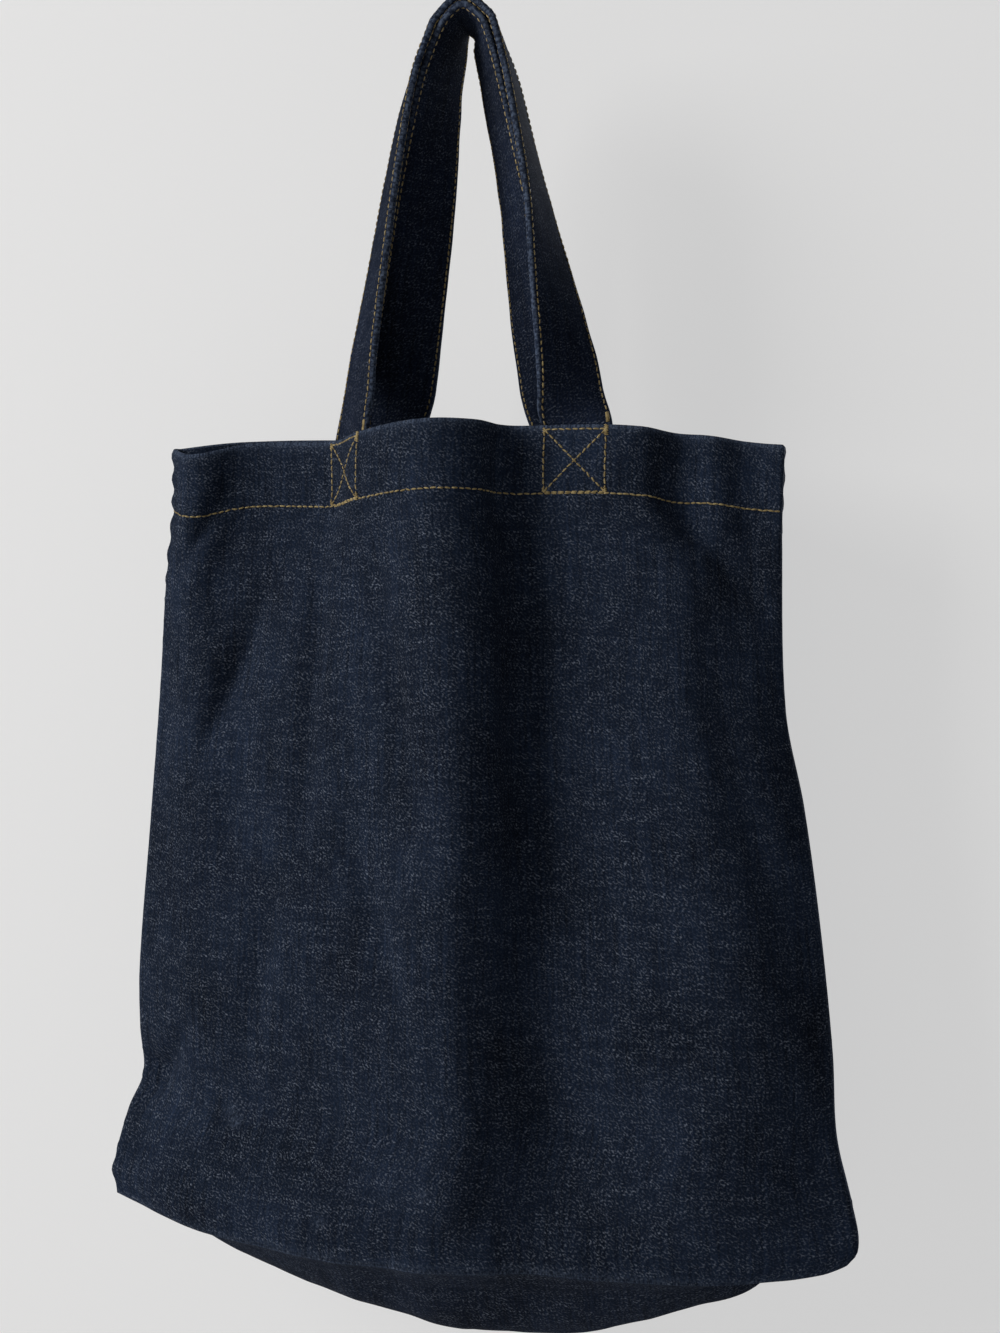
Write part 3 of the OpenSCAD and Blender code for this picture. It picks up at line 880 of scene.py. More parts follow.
    def wear_at(self, u: np.ndarray, v: float) -> np.ndarray:
        """How worn the outer face is along one row.

        Args:
            u: Flat places across.
            v: The row's flat place down from the mouth.

        Returns:
            The wear at each place, from 0 to 1.
        """
        mouth = self.mouth_wear * math.exp(-v / 1.6)
        crease = self.crease_wear * bell((self.cut.panel_h - v) / 2.2)
        seam = self.seam_wear * np.exp(-((self.cut.half_w - np.abs(u)) / 2.0))
        rubs = sum(much * np.exp(-((u - x) ** 2 + (v - y) ** 2) / self.rub_spread)
                   for x, y, much in self.hang.rubs)
        return ramp(mouth + crease + seam + rubs)

    def build(self) -> bpy.types.Object:
        """Makes the sheet, turns its hem over the mouth and gives it its thickness.

        Returns:
            The panel's piece.
        """
        cut, u = self.cut, self.flat_u[0]
        roll = (cut.hem_t - cut.cloth_t) / 2
        fit = np.clip((cut.half_w - np.abs(u)) / 12, 0.15, 1)[:, None]
        rows, flats, wear = [], [], []

        def lay(points: np.ndarray, v: float, worn: Values) -> None:
            """Adds one row of the sheet.

            Args:
                points: The row's points.
                v: Its place down the flat cloth.
                worn: How worn it is.
            """
            rows.append(points)
            flats.append(np.stack([u, np.full_like(u, v)], -1))
            wear.append(np.broadcast_to(worn, u.shape))

        for v in np.linspace(cut.hem_d, roll, self.hem_rows):
            point, direction = self.place(u, v, -cut.cloth_t / 2)
            lay(point - direction * (2 * roll * fit), v, 0.0)
        for angle in np.linspace(np.pi, 0, self.roll_rows + 2)[1:-1]:
            point, direction = self.place(u, roll - roll * math.sin(angle), -cut.cloth_t / 2)
            lay(point - direction * (roll * (1 - math.cos(angle)) * fit), -roll * angle, self.mouth_wear)
        top, _ = self.place(u, roll, -cut.cloth_t / 2)
        for v, middle in zip(self.flat_v[:, 0], self.middle):
            lay(top if v < roll else middle, -v, self.wear_at(u, v))
        piece = Bench.sheet(f"{self.side.word}_panel_cloth", *map(np.array, (rows, flats, wear)))
        return Bench.thicken(piece, cut.cloth_t, f"{self.side.word}_panel")

    def declare(self, piece: bpy.types.Object, sewn_on: Sequence[bpy.types.Object]) -> None:
        """Args:
            piece: The panel's piece; not used.
            sewn_on: The pieces sewn on it; not used.
        """


@dataclass
class Gusset:
    """The bottom: folded up between the panels at both side seams, popped down to a belly in the middle."""

    cut: Cut
    front: Panel
    back: Panel
    columns: int = 150
    rows: int = 44
    reach: float = 0.985
    wear: float = 0.55
    fold_at: Curve = ((0, 0.16), (0.6, 0.16), (0.8, 0.26), (1, 0.45))

    def rise(self, a: np.ndarray, t: np.ndarray) -> np.ndarray:
        """Height of the gusset above its creases.

        Args:
            a: Place across, from -1 at the left seam to 1 at the right one.
            t: Place across its depth, from 0 at the front crease to 1 at the back one.

        Returns:
            The height at each place, in millimetres.
        """
        belly = self.cut.belly_share * self.cut.gusset_d
        pleat = self.cut.gusset_d / 2
        middle = curve(((-1, pleat), (-0.93, pleat * 0.5), (-0.86, 0), (-0.72, -belly * 0.22),
                        (-0.4, -belly * 0.64), (0, -belly), (0.3, -belly * 0.94), (0.62, -belly * 0.46),
                        (0.8, -belly * 0.1), (0.9, pleat * 0.5), (1, pleat)), a)
        a = np.abs(a)
        fold = curve(((0, -belly * 0.3), (0.4, -belly * 0.25), (0.65, -belly * 0.1), (0.8, pleat * 0.2),
                      (0.9, pleat * 0.6), (1, pleat * 0.9)), a)
        at = curve(self.fold_at, a)
        s = np.minimum(t, 1 - t)
        inner = fold + (middle - fold) * np.sin(np.pi / 2 * ramp((s - at) / (0.5 - at)))
        return np.where(s < at, fold * s / at, inner)

    def build(self) -> bpy.types.Object:
        """Makes the gusset's sheet.

        Returns:
            The gusset's piece.
        """
        cut = self.cut
        across = np.linspace(-self.reach, self.reach, self.columns + 1)
        a, t = np.meshgrid(across, np.linspace(0, 1, self.rows + 1))
        from_crease = np.minimum(t, 1 - t)
        rise = self.rise(a / self.reach, t)
        u, v, down = a * cut.half_w, cut.panel_h - np.maximum(0, rise), t * cut.gusset_d
        depth = -(cut.cloth_t * 0.35 + (cut.cloth_t * 1.3 + cut.lift) * ramp(from_crease / 0.06))
        front, _ = self.front.place(u, v, depth)
        back, _ = self.back.place(u, v, depth)
        points = front + (back - front) * t[..., None]
        points[..., 2] += np.minimum(0, rise)
        wrinkle = 0.9 * soft_noise(u, down, 26, 18, 31) + 0.5 * soft_noise(u + t * 60, down, 12, 9, 32)
        points[..., 2] += wrinkle * ramp(from_crease / 0.12) * np.clip((0.8 - np.abs(a)) / 0.3, 0.1, 1)
        wear = self.wear * bell(from_crease * cut.gusset_d / 1.8)
        piece = Bench.sheet("bottom_gusset_cloth", points, np.stack([u, -cut.panel_h - down], -1), wear)
        return Bench.thicken(piece, cut.cloth_t, "bottom_gusset")


@dataclass
class SideSeam:
    """The two raw edges of one side seam, overlocked together inside the bag."""

    seam: Seam
    cut: Cut
    back: Panel
    top: float = 41.0
    bottom: float = 313.0
    columns: int = 7
    rows: int = 90
    start: float = 1.5
    thickness: float = 1.5
    clear: float = 1.0
    ruffle: float = 0.25

    @property
    def depth(self) -> float:
        """How far inside the back panel's outer face the strip's middle lies."""
        return self.cut.cloth_t + self.cut.lift + self.clear

    def build(self) -> bpy.types.Object:
        """Makes the strip, pressed against the back panel.

        Returns:
            The strip's piece.
        """
        width = self.cut.allowance_w
        s, v = np.meshgrid(np.linspace(self.start, self.start + width, self.columns),
                           np.linspace(self.top, self.bottom, self.rows))
        u = self.seam.value * (self.cut.half_w - s)
        ruffle = self.ruffle * np.sin(v / 3.1) * (s - self.start) / width
        points, _ = self.back.place(u, v, -(self.depth + ruffle))
        wear = 0.5 * (s > width * 0.8)
        piece = Bench.sheet(f"{self.seam.word}_seam_allowance", points, np.stack([u, -v], -1), wear)
        return Bench.thicken(piece, self.thickness, f"{self.seam.word}_side_seam")


# ---- Straps ------------------------------------------------------------------------------------------------


@dataclass
class Strap:
    """One handle: a folded strap from its left sewn end over the hook to its right one."""

    side: Side
    cut: Cut
    panel: Panel
    left_leg: Quads
    right_leg: Quads
    out: float
    ring_step: float = 2.2
    end_rows: int = 13
    samples: int = 1600
    settle: float = 26.0
    groove: float = 0.22
    puff: float = 0.18
    lumps: float = 0.10
    ripple: float = 0.22
    sway: float = 0.25
    wear: float = 0.85
    bend_below: float = 4.0
    bend_length: float = 34.0
    bend_out: float = 10.0
    # Places near each edge where the band has extra columns, for its sewn line and its rounding.
    edge_shares: Sequence[float] = (0.41, 0.437, 0.47, 0.487)

    def __post_init__(self) -> None:
        """Works out the middle of the strap's thickness, ring by ring."""
        self.body = f"{self.side.word}_handle"
        edge = np.array(self.edge_shares)
        self.share = np.sort(np.concatenate([np.linspace(-0.5, 0.5, 15), -edge, edge]))
        self.rings = self.lay_rings()
        steps = np.linalg.norm(np.diff(self.rings[:, len(self.share) // 2], axis=0), axis=1)
        self.run = np.concatenate([[0], np.cumsum(steps)])
        self.normals = grid_normals(self.rings)
        self.tangents = unit(np.gradient(self.rings, axis=0))

    def sewn_row(self, end: Seam, v: float) -> np.ndarray:
        """One row across a sewn end, behind the hem, from the strap's front edge to its back one.

        Args:
            end: Which sewn end.
            v: The row's distance below the mouth.

        Returns:
            The row's points.
        """
        cut = self.cut
        order = -self.side.value * end.value * self.share
        u = end.value * cut.strap_spacing / 2 + cut.strap_w * order
        return self.panel.place(u, v, -(cut.hem_t + cut.lift + cut.strap_t / 2))[0]

    def mouth(self, end: Seam) -> list[float]:
        """The section at the mouth, above one sewn end.

        Args:
            end: Which sewn end.

        Returns:
            Its height, x, y and turn in degrees.
        """
        row = self.sewn_row(end, 0.0)
        across, middle = row[-1] - row[0], row[len(row) // 2]
        return [middle[2], middle[0], middle[1], math.degrees(math.atan2(across[0], across[1]))]

    def sections(self) -> np.ndarray:
        """Level sections from the left sewn end over the hook to the right one.

        Returns:
            Height, x, y and turn in degrees of each section.
        """
        cut = self.cut
        left, right = ([(share * cut.handle_drop, *rest) for share, *rest in leg]
                       for leg in (self.left_leg, self.right_leg))
        top = (cut.strap_t / 2 + self.out, 0, 0, -cut.hook_turn)
        table = np.array([self.mouth(Seam.LEFT), *left[::-1], top, *right, self.mouth(Seam.RIGHT)])
        table[:, 3] = np.unwrap(table[:, 3], period=360)
        return table

    def lay_rings(self) -> np.ndarray:
        """Lays all rows across the strap, from the left sewn end to the right one.

        Returns:
            Rows by places across by 3, in millimetres.
        """
        cut = self.cut
        table = list(enumerate(self.sections()))
        t = np.linspace(0, len(table) - 1, self.samples)
        steps = np.linalg.norm(np.diff(curve(table, t)[:, :3], axis=0), axis=1)
        length = np.concatenate([[0], np.cumsum(steps)])
        run = np.linspace(0, length[-1], int(length[-1] / self.ring_step))
        v = curve(table, np.interp(run, length, t))
        turn = np.radians(v[:, 3])
        width = cut.strap_w * np.stack([np.sin(turn), np.cos(turn), 0 * turn], -1)
        loop = v[:, None, [1, 2, 0]] + width[:, None, :] * self.share[None, :, None]
        ends = []
        depths = np.linspace(cut.hem_d - 1.5, 2, self.end_rows)
        for end, row, away in ((Seam.LEFT, loop[0], run), (Seam.RIGHT, loop[-1], run[-1] - run)):
            near = smooth(ramp(1 - away / self.settle))
            loop = loop + (self.sewn_row(end, 0.0) - row) * near[:, None, None]
            ends.append(np.array([self.sewn_row(end, depth) for depth in depths]))
        return np.concatenate([ends[0], loop, ends[1][::-1]])

    def half_thickness(self, share: np.ndarray, run: np.ndarray) -> np.ndarray:
        """Half the thickness: soft between the sewn lines, drawn in along them and rounded at the edges.

        Args:
            share: Places across, from -0.5 to 0.5.
            run: Places along the strap, in millimetres.

        Returns:
            Half the thickness at each place.
        """
        cut = self.cut
        from_edge = cut.strap_w * (0.5 - np.abs(share))
        from_line = from_edge - cut.edge_inset
        pull = 0.7 + 0.3 * np.cos(2 * np.pi * run / cut.stitch_pitch)
        soft = self.puff * ramp(from_line / 6)
        rounded = np.sqrt(ramp(1 - ramp(1 - from_edge / 1.5) ** 2))
        lumps = self.lumps * soft_noise(share * cut.strap_w, run, 7, 9, 51)
        full = cut.strap_t / 2 + soft + lumps - self.groove * bell(from_line / 0.9) * pull
        return full * np.maximum(rounded, 0.02)

    def face(self, share: float, run: np.ndarray, outer: int, out: float = 0.0) -> tuple[np.ndarray, ...]:
        """Places on one face of the strap.

        Args:
            share: Place across, from -0.5 to 0.5.
            run: Places along, in millimetres.
            outer: -1 for the outer face and 1 for the inner one.
            out: Distance off the face.

        Returns:
            The points, their outward directions and their directions along the strap.
        """
        row = np.interp(run, self.run, np.arange(len(self.run)))
        column = np.full_like(row, np.interp(share, self.share, np.arange(len(self.share))))
        point = read_grid(self.rings, row, column)
        direction = outer * unit(read_grid(self.normals, row, column))
        along = unit(read_grid(self.tangents, row, column))
        thick = self.half_thickness(np.full_like(run, share), run) + out
        return point + direction * thick[:, None], direction, along

    def build(self) -> bpy.types.Object:
        """Makes the strap as a closed band.

        Returns:
            The strap's piece.
        """
        width = self.cut.strap_w
        share, run = np.meshgrid(self.share, self.run)
        sway = self.sway * soft_noise(run, run * 0, 17, 9, 52 + self.side.value)
        wave = (self.ripple * soft_noise(share * width, run, 14, 11, 53 + self.side.value))[..., None]
        across = unit(np.gradient(self.rings, axis=1))
        middle = self.rings + self.normals * wave + across * (sway * share * 2)[..., None]
        half = self.half_thickness(share, run)[..., None]

        def around(near: np.ndarray, far: np.ndarray, last: np.ndarray) -> np.ndarray:
            """Values around the band: its near face, its far face backwards and where it meets itself."""
            return np.concatenate([near, far[:, ::-1][:, 1:-1], last[:, :1]], axis=1)

        near, far = middle - self.normals * half, middle + self.normals * half
        flat_u = around(share, 1 - share, 1.5 + 0 * share) * width
        rubbed = self.wear * bell((0.5 - np.abs(share)) * width / 0.9)
        piece = Bench.tube(f"{self.side.word}_strap", around(near, far, near),
                           np.stack([flat_u, around(run, run, run)], -1), around(rubbed, rubbed, rubbed))
        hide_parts(self.body, f"{self.body}_ends")
        self.bend(piece)
        return piece

    def bend(self, piece: bpy.types.Object) -> None:
        """Bakes a piece's transform into its mesh.

        Args:
            piece: The piece.
        """
        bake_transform(piece)

    def declare(self, piece: bpy.types.Object, sewn_on: Sequence[bpy.types.Object]) -> None:
        """Args:
            piece: The strap's piece; not used.
            sewn_on: The pieces sewn on it; not used.
        """


# ---- Stitching ---------------------------------------------------------------------------------------------


@dataclass
class Stitcher:
    """Sews rows of single stitches: one stitch is modelled, and each copy has its own points."""

    cut: Cut
    lean: float = 0.10
    seat: float = 0.22
    plump: float = 0.62
    uneven: float = 0.03
    dive: float = 0.30
    bluntness: float = 0.75

    def __post_init__(self) -> None:
        """Models one stitch: a short rounded bar, a little flattened, that dives at both ends."""
        Bench.clear()
        bpy.ops.mesh.primitive_uv_sphere_add(segments=6, ring_count=6, radius=1.0)
        stitch = bpy.context.active_object
        bpy.ops.object.mode_set(mode="EDIT")
        bpy.ops.mesh.select_all(action="SELECT")
        bpy.ops.transform.rotate(value=math.pi / 2, orient_axis="Y", center_override=(0, 0, 0))
        bpy.ops.object.mode_set(mode="OBJECT")
        self.points = np.array([v.co for v in stitch.data.vertices])
        self.points[:, 0] = np.sign(self.points[:, 0]) * np.abs(self.points[:, 0]) ** self.bluntness
        self.faces = [tuple(f.vertices) for f in stitch.data.polygons]
        bpy.data.objects.remove(stitch)

    def sew(self, name: str, rows: Sequence[Stitches], width: float | None = None) -> bpy.types.Object:
        """Lays one stitch at each place of some rows.

        Args:
            name: The piece's name.
            rows: The rows, in millimetres, with their middles on the cloth's face.
            width: Thread width; the usual one if left out.

        Returns:
            All the stitches as one piece.
        """
        places, outwards, along, lengths = (np.concatenate(part) for part in zip(*rows))
        count = len(places)
        width = width or self.cut.thread_w
        along = unit(along - outwards * np.sum(along * outwards, -1, keepdims=True))
        aside = np.cross(outwards, along)
        jitter = np.random.default_rng(len(name) * 7 + count).normal(0, 1, (count, 3))
        along = unit(along + (self.lean * jitter[:, :1]) * aside)
        x, y, z = (self.points[None, :, k:k + 1] for k in range(3))
        height = self.cut.thread_t * self.seat + self.uneven * jitter[:, 1:2]
        body = (
            places[:, None]
            + outwards[:, None] * height[:, None]
            + along[:, None] * (x * lengths[:, None, None] / 2)
            + aside[:, None] * (y * width / 2)
            + outwards[:, None] * (z * self.cut.thread_t * self.plump - self.dive * x**4)
        )
        size = len(self.points)
        faces = [tuple(i + k * size for i in f) for k in range(count) for f in self.faces]
        mesh = bpy.data.meshes.new(name)
        mesh.from_pydata((body.reshape(-1, 3) * MM).tolist(), [], faces)
        mesh.shade_smooth()
        piece = bpy.data.objects.new(name, mesh)
        bpy.context.scene.collection.objects.link(piece)
        Bench.take(piece)
        bpy.ops.object.mode_set(mode="EDIT")
        Bench.face_out()
        return piece


def spread(start: Pair, end: Pair, pitch: float) -> tuple[np.ndarray, np.ndarray, float]:
    """Even places on a straight flat line.

    Args:
        start: Its first place.
        end: Its last place.
        pitch: About how far apart the places are.

    Returns:
        The places' first and second numbers, and their exact pitch.
    """
    a, b = np.array(start, float), np.array(end, float)
    length = float(np.hypot(*(b - a)))
    count = max(2, round(length / pitch))
    t = (np.arange(count) + 0.5) / count
    at = a + (b - a) * t[:, None]
    return at[:, 0], at[:, 1], length / count


@dataclass
class PanelStitching:
    """The hem's line and the two boxed crosses of one panel."""

    panel: Panel
    stitcher: Stitcher
    cover: float = 0.93
    hem_end: float = 3.0
    box_gap: float = 0.6
    bar_step: float = 0.5
    bar_off: float = 0.15
    bar_zigzag: float = 0.22
    bar_thread: float = 0.7

    def line(self, start: Pair, end: Pair) -> Stitches:
        """A row of stitches along a straight flat line.

        Args:
            start: The line's first flat place.
            end: Its last one.

        Returns:
            The row.
        """
        cut = self.panel.cut
        u, v, pitch = spread(start, end, cut.stitch_pitch)
        point, out = self.panel.place(u, v)
        step = np.array(end, float) - np.array(start, float)
        step = step / np.hypot(*step)
        ahead, _ = self.panel.place(np.clip(u + step[0], -cut.half_w, cut.half_w), np.maximum(v + step[1], 0))
        return point, out, unit(ahead - point), np.full(len(u), pitch * self.cover)

    def box(self, end: Seam) -> tuple[float, float, float, float]:
        """The flat box of stitching over one end of the strap.

        Args:
            end: Which sewn end.

        Returns:
            Its two places across and its two places down.
        """
        cut = self.panel.cut
        x0 = end.value * cut.strap_spacing / 2 - cut.strap_w / 2 + cut.edge_inset
        x1 = x0 + cut.strap_w - 2 * cut.edge_inset
        return x0, x1, cut.stitch_row - cut.box_h, cut.stitch_row - self.box_gap

    def hem(self) -> bpy.types.Object:
        """The line that holds the hem.

        Returns:
            The line as one piece.
        """
        cut, side = self.panel.cut, self.panel.side.word
        ends = cut.half_w - self.hem_end
        row = self.line((-ends, cut.stitch_row), (ends, cut.stitch_row))
        return Bench.on_bag(self.stitcher.sew(f"{side}_hem_stitches", [row]), f"{side}_hem_stitching")

    def boxes(self) -> bpy.types.Object:
        """The boxed crosses over both ends of the strap.

        Returns:
            Both as one piece.
        """
        side, rows = self.panel.side.word, []
        for end in Seam:
            x0, x1, y0, y1 = self.box(end)
            a, b, c, d = (x0, y0), (x1, y0), (x0, y1), (x1, y1)
            rows += [self.line(*ends) for ends in ((a, b), (a, c), (b, d), (c, d), (a, d), (c, b))]
        return Bench.on_bag(self.stitcher.sew(f"{side}_box_stitches", rows), f"{side}_box_stitching")

    def bartacks(self) -> bpy.types.Object:
        """Thick little bars of thread at the corners of the boxed crosses.

        Returns:
            All the bars as one piece.
        """
        rows = []
        for end in Seam:
            x0, x1, y0, y1 = self.box(end)
            for x, low, high, wide in ((x1, 0.2, y0 + 2.8, 2.1), (x0, y0 - 0.6, y0 + 1.8, 1.5),
                                       (x1, y1 - 2.0, y1 + 0.5, 1.5), (x0, y1 - 1.6, y1 + 0.3, 1.5)):
                v = np.arange(low, high, self.bar_step)
                u = x + self.bar_zigzag * np.where(np.arange(len(v)) % 2, 1, -1)
                point, out = self.panel.place(u, v, self.bar_off)
                side, _ = self.panel.place(u + 1, v, self.bar_off)
                rows.append((point, out, unit(side - point), np.full(len(v), wide)))
        return Bench.on_bag(self.stitcher.sew(f"{self.panel.side.word}_bartacks", rows, self.bar_thread))


@dataclass
class StrapStitching:
    """The lines of stitching along both edges of a strap, seen on both of its faces."""

    strap: Strap
    stitcher: Stitcher
    cover: float = 0.84
    bar_above: float = 2.6
    bar_half: float = 2.4
    bar_step: float = 0.5
    bar_stitch: float = 2.0
    bar_off: float = 0.15

    def build(self) -> bpy.types.Object:
        """Sews all four lines, and a bar across one edge above each sewn end.

        Returns:
            All the stitches as one piece.
        """
        cut, strap = self.strap.cut, self.strap
        inset, rows = cut.edge_inset / cut.strap_w, []
        run = np.arange(cut.hem_d + 1, strap.run[-1] - cut.hem_d, cut.stitch_pitch)
        for edge in (-1, 1):
            for face in (-1, 1):
                at = run + (cut.stitch_pitch / 2 if face > 0 else 0)
                lengths = np.full(len(at), cut.stitch_pitch * self.cover)
                rows.append((*strap.face(edge * (0.5 - inset), at, face), lengths))
        above = cut.hem_d + self.bar_above
        for edge, middle in ((-1, above), (1, strap.run[-1] - above)):
            at = middle + np.arange(-self.bar_half, self.bar_half + 0.1, self.bar_step)
            point, out, along = strap.face(edge * (0.5 - inset), at, -1, self.bar_off)
            rows.append((point, out, np.cross(out, along), np.full(len(at), self.bar_stitch)))
        piece = self.stitcher.sew(f"{strap.side.word}_strap_stitches", rows)
        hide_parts(f"{strap.body}_stitching")
        strap.bend(piece)
        return piece


@dataclass
class Overlock:
    """Loops of thread over the raw edges inside one side seam."""

    seam: SideSeam
    stitcher: Stitcher
    pitch: float = 1.8
    loop: float = 4.6
    thread: float = 0.5
    from_edge: float = 1.6
    off: float = 0.1

    def build(self) -> bpy.types.Object:
        """Sews the loops.

        Returns:
            All the loops as one piece.
        """
        cut, seam = self.seam.cut, self.seam
        v = np.arange(seam.top + 1, seam.bottom - 1, self.pitch)
        slant = np.where(np.arange(len(v)) % 2, 1.0, -1.0)
        u = seam.seam.value * (cut.half_w - (cut.allowance_w - self.from_edge))
        inside = -(seam.depth + seam.thickness / 2 + self.off)
        point, out = seam.back.place(u, v, inside)
        ahead, _ = seam.back.place(u + 2.0, v + slant, inside)
        row = (point, -out, unit(ahead - point), np.full(len(v), self.loop))
        return Bench.on_bag(self.stitcher.sew(f"{seam.seam.word}_overlock_stitches", [row], self.thread))


# ---- The room ----------------------------------------------------------------------------------------------


@dataclass(frozen=True)
class Lamp:
    """One soft square light that points at the bag's middle, with its power in watts."""

    name: str
    place: Triple
    size: float
    power: float
    colour: Triple
    target: Triple = (0, 0, -0.38)

    def build(self) -> None:
        """Adds the light to the scene."""
        data = bpy.data.lights.new(self.name, "AREA")
        data.shape = "SQUARE"
        data.size = self.size
        data.energy = self.power
        data.color = self.colour
        lamp = bpy.data.objects.new(self.name, data)
        lamp.location = self.place
        lamp.rotation_euler = (Vector(self.target) - Vector(self.place)).to_track_quat("-Z", "Y").to_euler()
        bpy.context.scene.collection.objects.link(lamp)


@dataclass
class Studio:
    """A pale wall and floor, soft light from the upper left, and the camera."""

    wall_y: float = 0.085
    wall_size: float = 5.0
    wall_z: float = 0.4
    wall_colour: Triple = (0.31, 0.31, 0.31)
    wall_glow: float = 0.56
    floor_z: float = -0.82
    floor_size: float = 8.0
    floor_colour: Triple = (0.72, 0.71, 0.70)
    air: Triple = (0.83, 0.85, 0.88)
    air_strength: float = 0.09
    lamps: Sequence[Lamp] = (
        Lamp("window", (-1.66, -1.2, 0.5), 1.1, 29.0, (1.0, 0.98, 0.96)),
        Lamp("front_fill", (0.5, -2.6, 0.2), 2.2, 2.4, (0.93, 0.96, 1.0)),
        Lamp("back_fill", (0.9, 2.2, 0.6), 2.0, 26.0, (0.95, 0.97, 1.0)),
    )
    lens: float = 40.5
    eye: Triple = (0.189, -0.710, -0.316)
    yaw: float = 13.56

    def paint(self, name: str, colour: Triple, one_sided: bool) -> bpy.types.Material:
        """A plain pale paint, which may glow and be seen from its front only.

        Args:
            name: The material's name.
            colour: The paint's colour.
            one_sided: Whether it glows and its back is clear.

        Returns:
            The paint.
        """
        n = Nodes(name)
        n.surface(Base_Color=(*colour, 1.0), Roughness=0.9, Specular_IOR_Level=0.1)
        if one_sided:
            n.surface(Emission_Color=(1.0, 1.0, 1.0, 1.0), Emission_Strength=self.wall_glow)
            back = n.add("ShaderNodeNewGeometry").outputs["Backfacing"]
            clear = n.add("ShaderNodeBsdfTransparent")
            both = n.add("ShaderNodeMixShader", {0: back, 1: n.shader.outputs[0], 2: clear.outputs[0]})
            n.put(n.tree.nodes["Material Output"].inputs["Surface"], both.outputs[0])
        return n.material

    def plane(
        self, name: str, paint: bpy.types.Material, size: float, place: Triple, tilt: float = 0.0
    ) -> bpy.types.Object:
        """One square plane of the room.

        Args:
            name: The plane's name.
            paint: Its paint.
            size: Its width and height, in metres.
            place: Its middle.
            tilt: Its turn about X, in radians.

        Returns:
            The plane.
        """
        Bench.clear()
        bpy.ops.mesh.primitive_plane_add(size=size, location=place, rotation=(tilt, 0, 0))
        plane = bpy.context.active_object
        plane.name = name
        plane.data.materials.append(paint)
        return plane

    def build(self) -> None:
        """Makes the wall, the floor, the lights and the camera."""
        wall = self.plane("wall", self.paint("wall_paint", self.wall_colour, True), self.wall_size,
                          (0, self.wall_y, self.wall_z), math.pi / 2)
        for ray in ("diffuse", "glossy", "shadow", "transmission"):
            setattr(wall, f"visible_{ray}", False)
        floor = self.plane("floor", self.paint("floor_paint", self.floor_colour, False), self.floor_size,
                           (0, 0, self.floor_z))
        for lamp in self.lamps:
            lamp.build()
        scene = bpy.context.scene
        scene.world = bpy.data.worlds.new("room")
        scene.world.use_nodes = True
        background = scene.world.node_tree.nodes["Background"].inputs
        background["Color"].default_value = (*self.air, 1.0)
        background["Strength"].default_value = self.air_strength
        scene.view_settings.view_transform = "Standard"
        data = bpy.data.cameras.new("camera")
        data.lens = self.lens
        data.clip_start = 0.01
        camera = bpy.data.objects.new("camera", data)
        camera.location = self.eye
        camera.rotation_euler = (math.pi / 2, 0, math.radians(self.yaw))
        scene.collection.objects.link(camera)
        scene.camera = camera


# ---- The whole bag -----------------------------------------------------------------------------------------


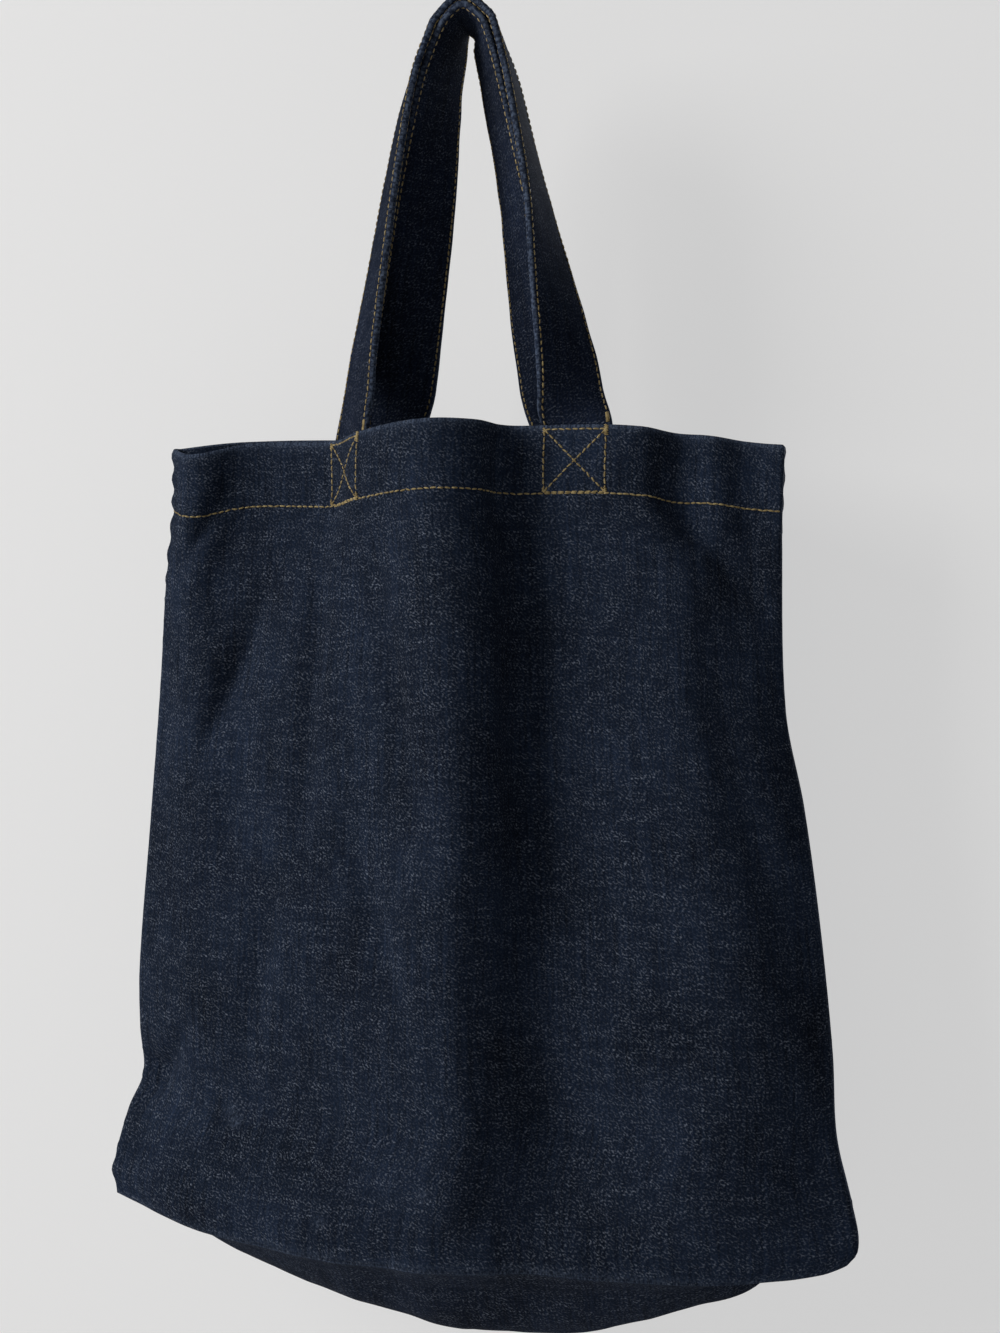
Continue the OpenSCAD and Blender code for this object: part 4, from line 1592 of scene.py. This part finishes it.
@dataclass
class Bag:
    cut: Cut
    finishes: Finishes
    strap_gap: float = 0.5

    def straps(self, front: Panel, back: Panel) -> list[Strap]:
        """Both straps. The front one lies on the back one over the hook, so it runs further out.

        Args:
            front: The front panel.
            back: The back panel.

        Returns:
            The front strap and the back one.
        """
        cut = self.cut
        front_left = [(-0.015, -12.9, 0, -11), (-0.05, -18.3, -0.4, -17), (-0.15, -27.2, -1.3, -23),
                      (-0.33, -34.6, -3, -26.8), (-0.58, -42.5, -5.2, -31.3), (-0.82, -49.8, -7.4, -38)]
        front_right = [(-0.015, 12.8, 0, -9), (-0.05, 17.5, -0.4, -5), (-0.15, 23.8, -1.3, -1),
                       (-0.33, 31.9, -2.8, 2.6), (-0.46, 37.6, -3.9, 8.6), (-0.58, 42.3, -5, 19),
                       (-0.82, 51.3, -6, 42.5), (-0.93, 54.4, -6, 56)]
        back_left = [(-0.015, -4.5, 1, 1), (-0.05, -7.8, 3, 9.5), (-0.15, -14.3, 6, 20.5),
                     (-0.33, -20, 8, 36), (-0.46, -24, 9.5, 46), (-0.7, -32.2, 15, 61),
                     (-0.85, -37.5, 19, 75), (-0.95, -41, 23, 92)]
        back_right = [(-0.015, 6.3, 0, -13), (-0.05, 8.4, 1, -22.5), (-0.15, 12.9, 2.5, -26),
                      (-0.33, 19.9, 4.5, -30), (-0.46, 24.3, 7, -35), (-0.7, 31.4, 12.5, -51),
                      (-0.85, 37.5, 16.5, -66), (-0.95, 41.9, 20, -84)]
        stacked = cut.strap_t + cut.thread_t + self.strap_gap
        return [Strap(Side.FRONT, cut, front, front_left, front_right, stacked),
                Strap(Side.BACK, cut, back, back_left, back_right, 0.0)]

    def side_seams(self, back: Panel, stitcher: Stitcher) -> list[bpy.types.Object]:
        """Makes both overlocked seams, which lie on the back panel.

        Args:
            back: The back panel.
            stitcher: What sews their loops.

        Returns:
            Their strips and loops.
        """
        pieces = []
        for end in Seam:
            seam = SideSeam(end, self.cut, back)
            strip = seam.build()
            Bench.dress(strip, self.finishes.strap, "overlocked_edge")
            loops = Overlock(seam, stitcher).build()
            Bench.dress(loops, self.finishes.overlock, "overlocked_edge")
            pieces += [strip, loops]
            LOG.info("%s", strip.name)
        return pieces

    def build(self) -> None:
        """Makes all the pieces."""
        cut, looks = self.cut, self.finishes
        stitcher = Stitcher(cut)
        front = Panel(Side.FRONT, cut, front_hang(), seed=11)
        back = Panel(Side.BACK, cut, back_hang(), seed=71)
        strips = self.side_seams(back, stitcher)
        for panel in (front, back):
            cloth = panel.build()
            Bench.dress(cloth, looks.panel, "denim")
            sewing = PanelStitching(panel, stitcher)
            threads = [sewing.hem(), sewing.boxes(), sewing.bartacks()]
            for thread in threads:
                Bench.dress(thread, looks.thread, "thread")
            panel.declare(cloth, threads + (strips if panel.side is Side.BACK else []))
            LOG.info("%s with %d stitch pieces", cloth.name, len(threads))
        gusset = Gusset(cut, front, back).build()
        Bench.dress(gusset, looks.inside, "denim")
        LOG.info("%s", gusset.name)
        for strap in self.straps(front, back):
            band = strap.build()
            Bench.dress(band, looks.strap, "strap_denim")
            thread = StrapStitching(strap, stitcher).build()
            Bench.dress(thread, looks.thread, "thread")
            strap.declare(band, [thread])
            LOG.info("%s, %.0f mm long", band.name, strap.run[-1])


def main() -> None:
    """Loads the frame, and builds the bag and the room."""
    logging.basicConfig(level=logging.INFO, format="%(name)s: %(message)s")
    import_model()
    Studio().build()
    Bag(Cut(), Finishes.make()).build()
    bpy.context.view_layer.update()


if __name__ == "__main__":
    main()
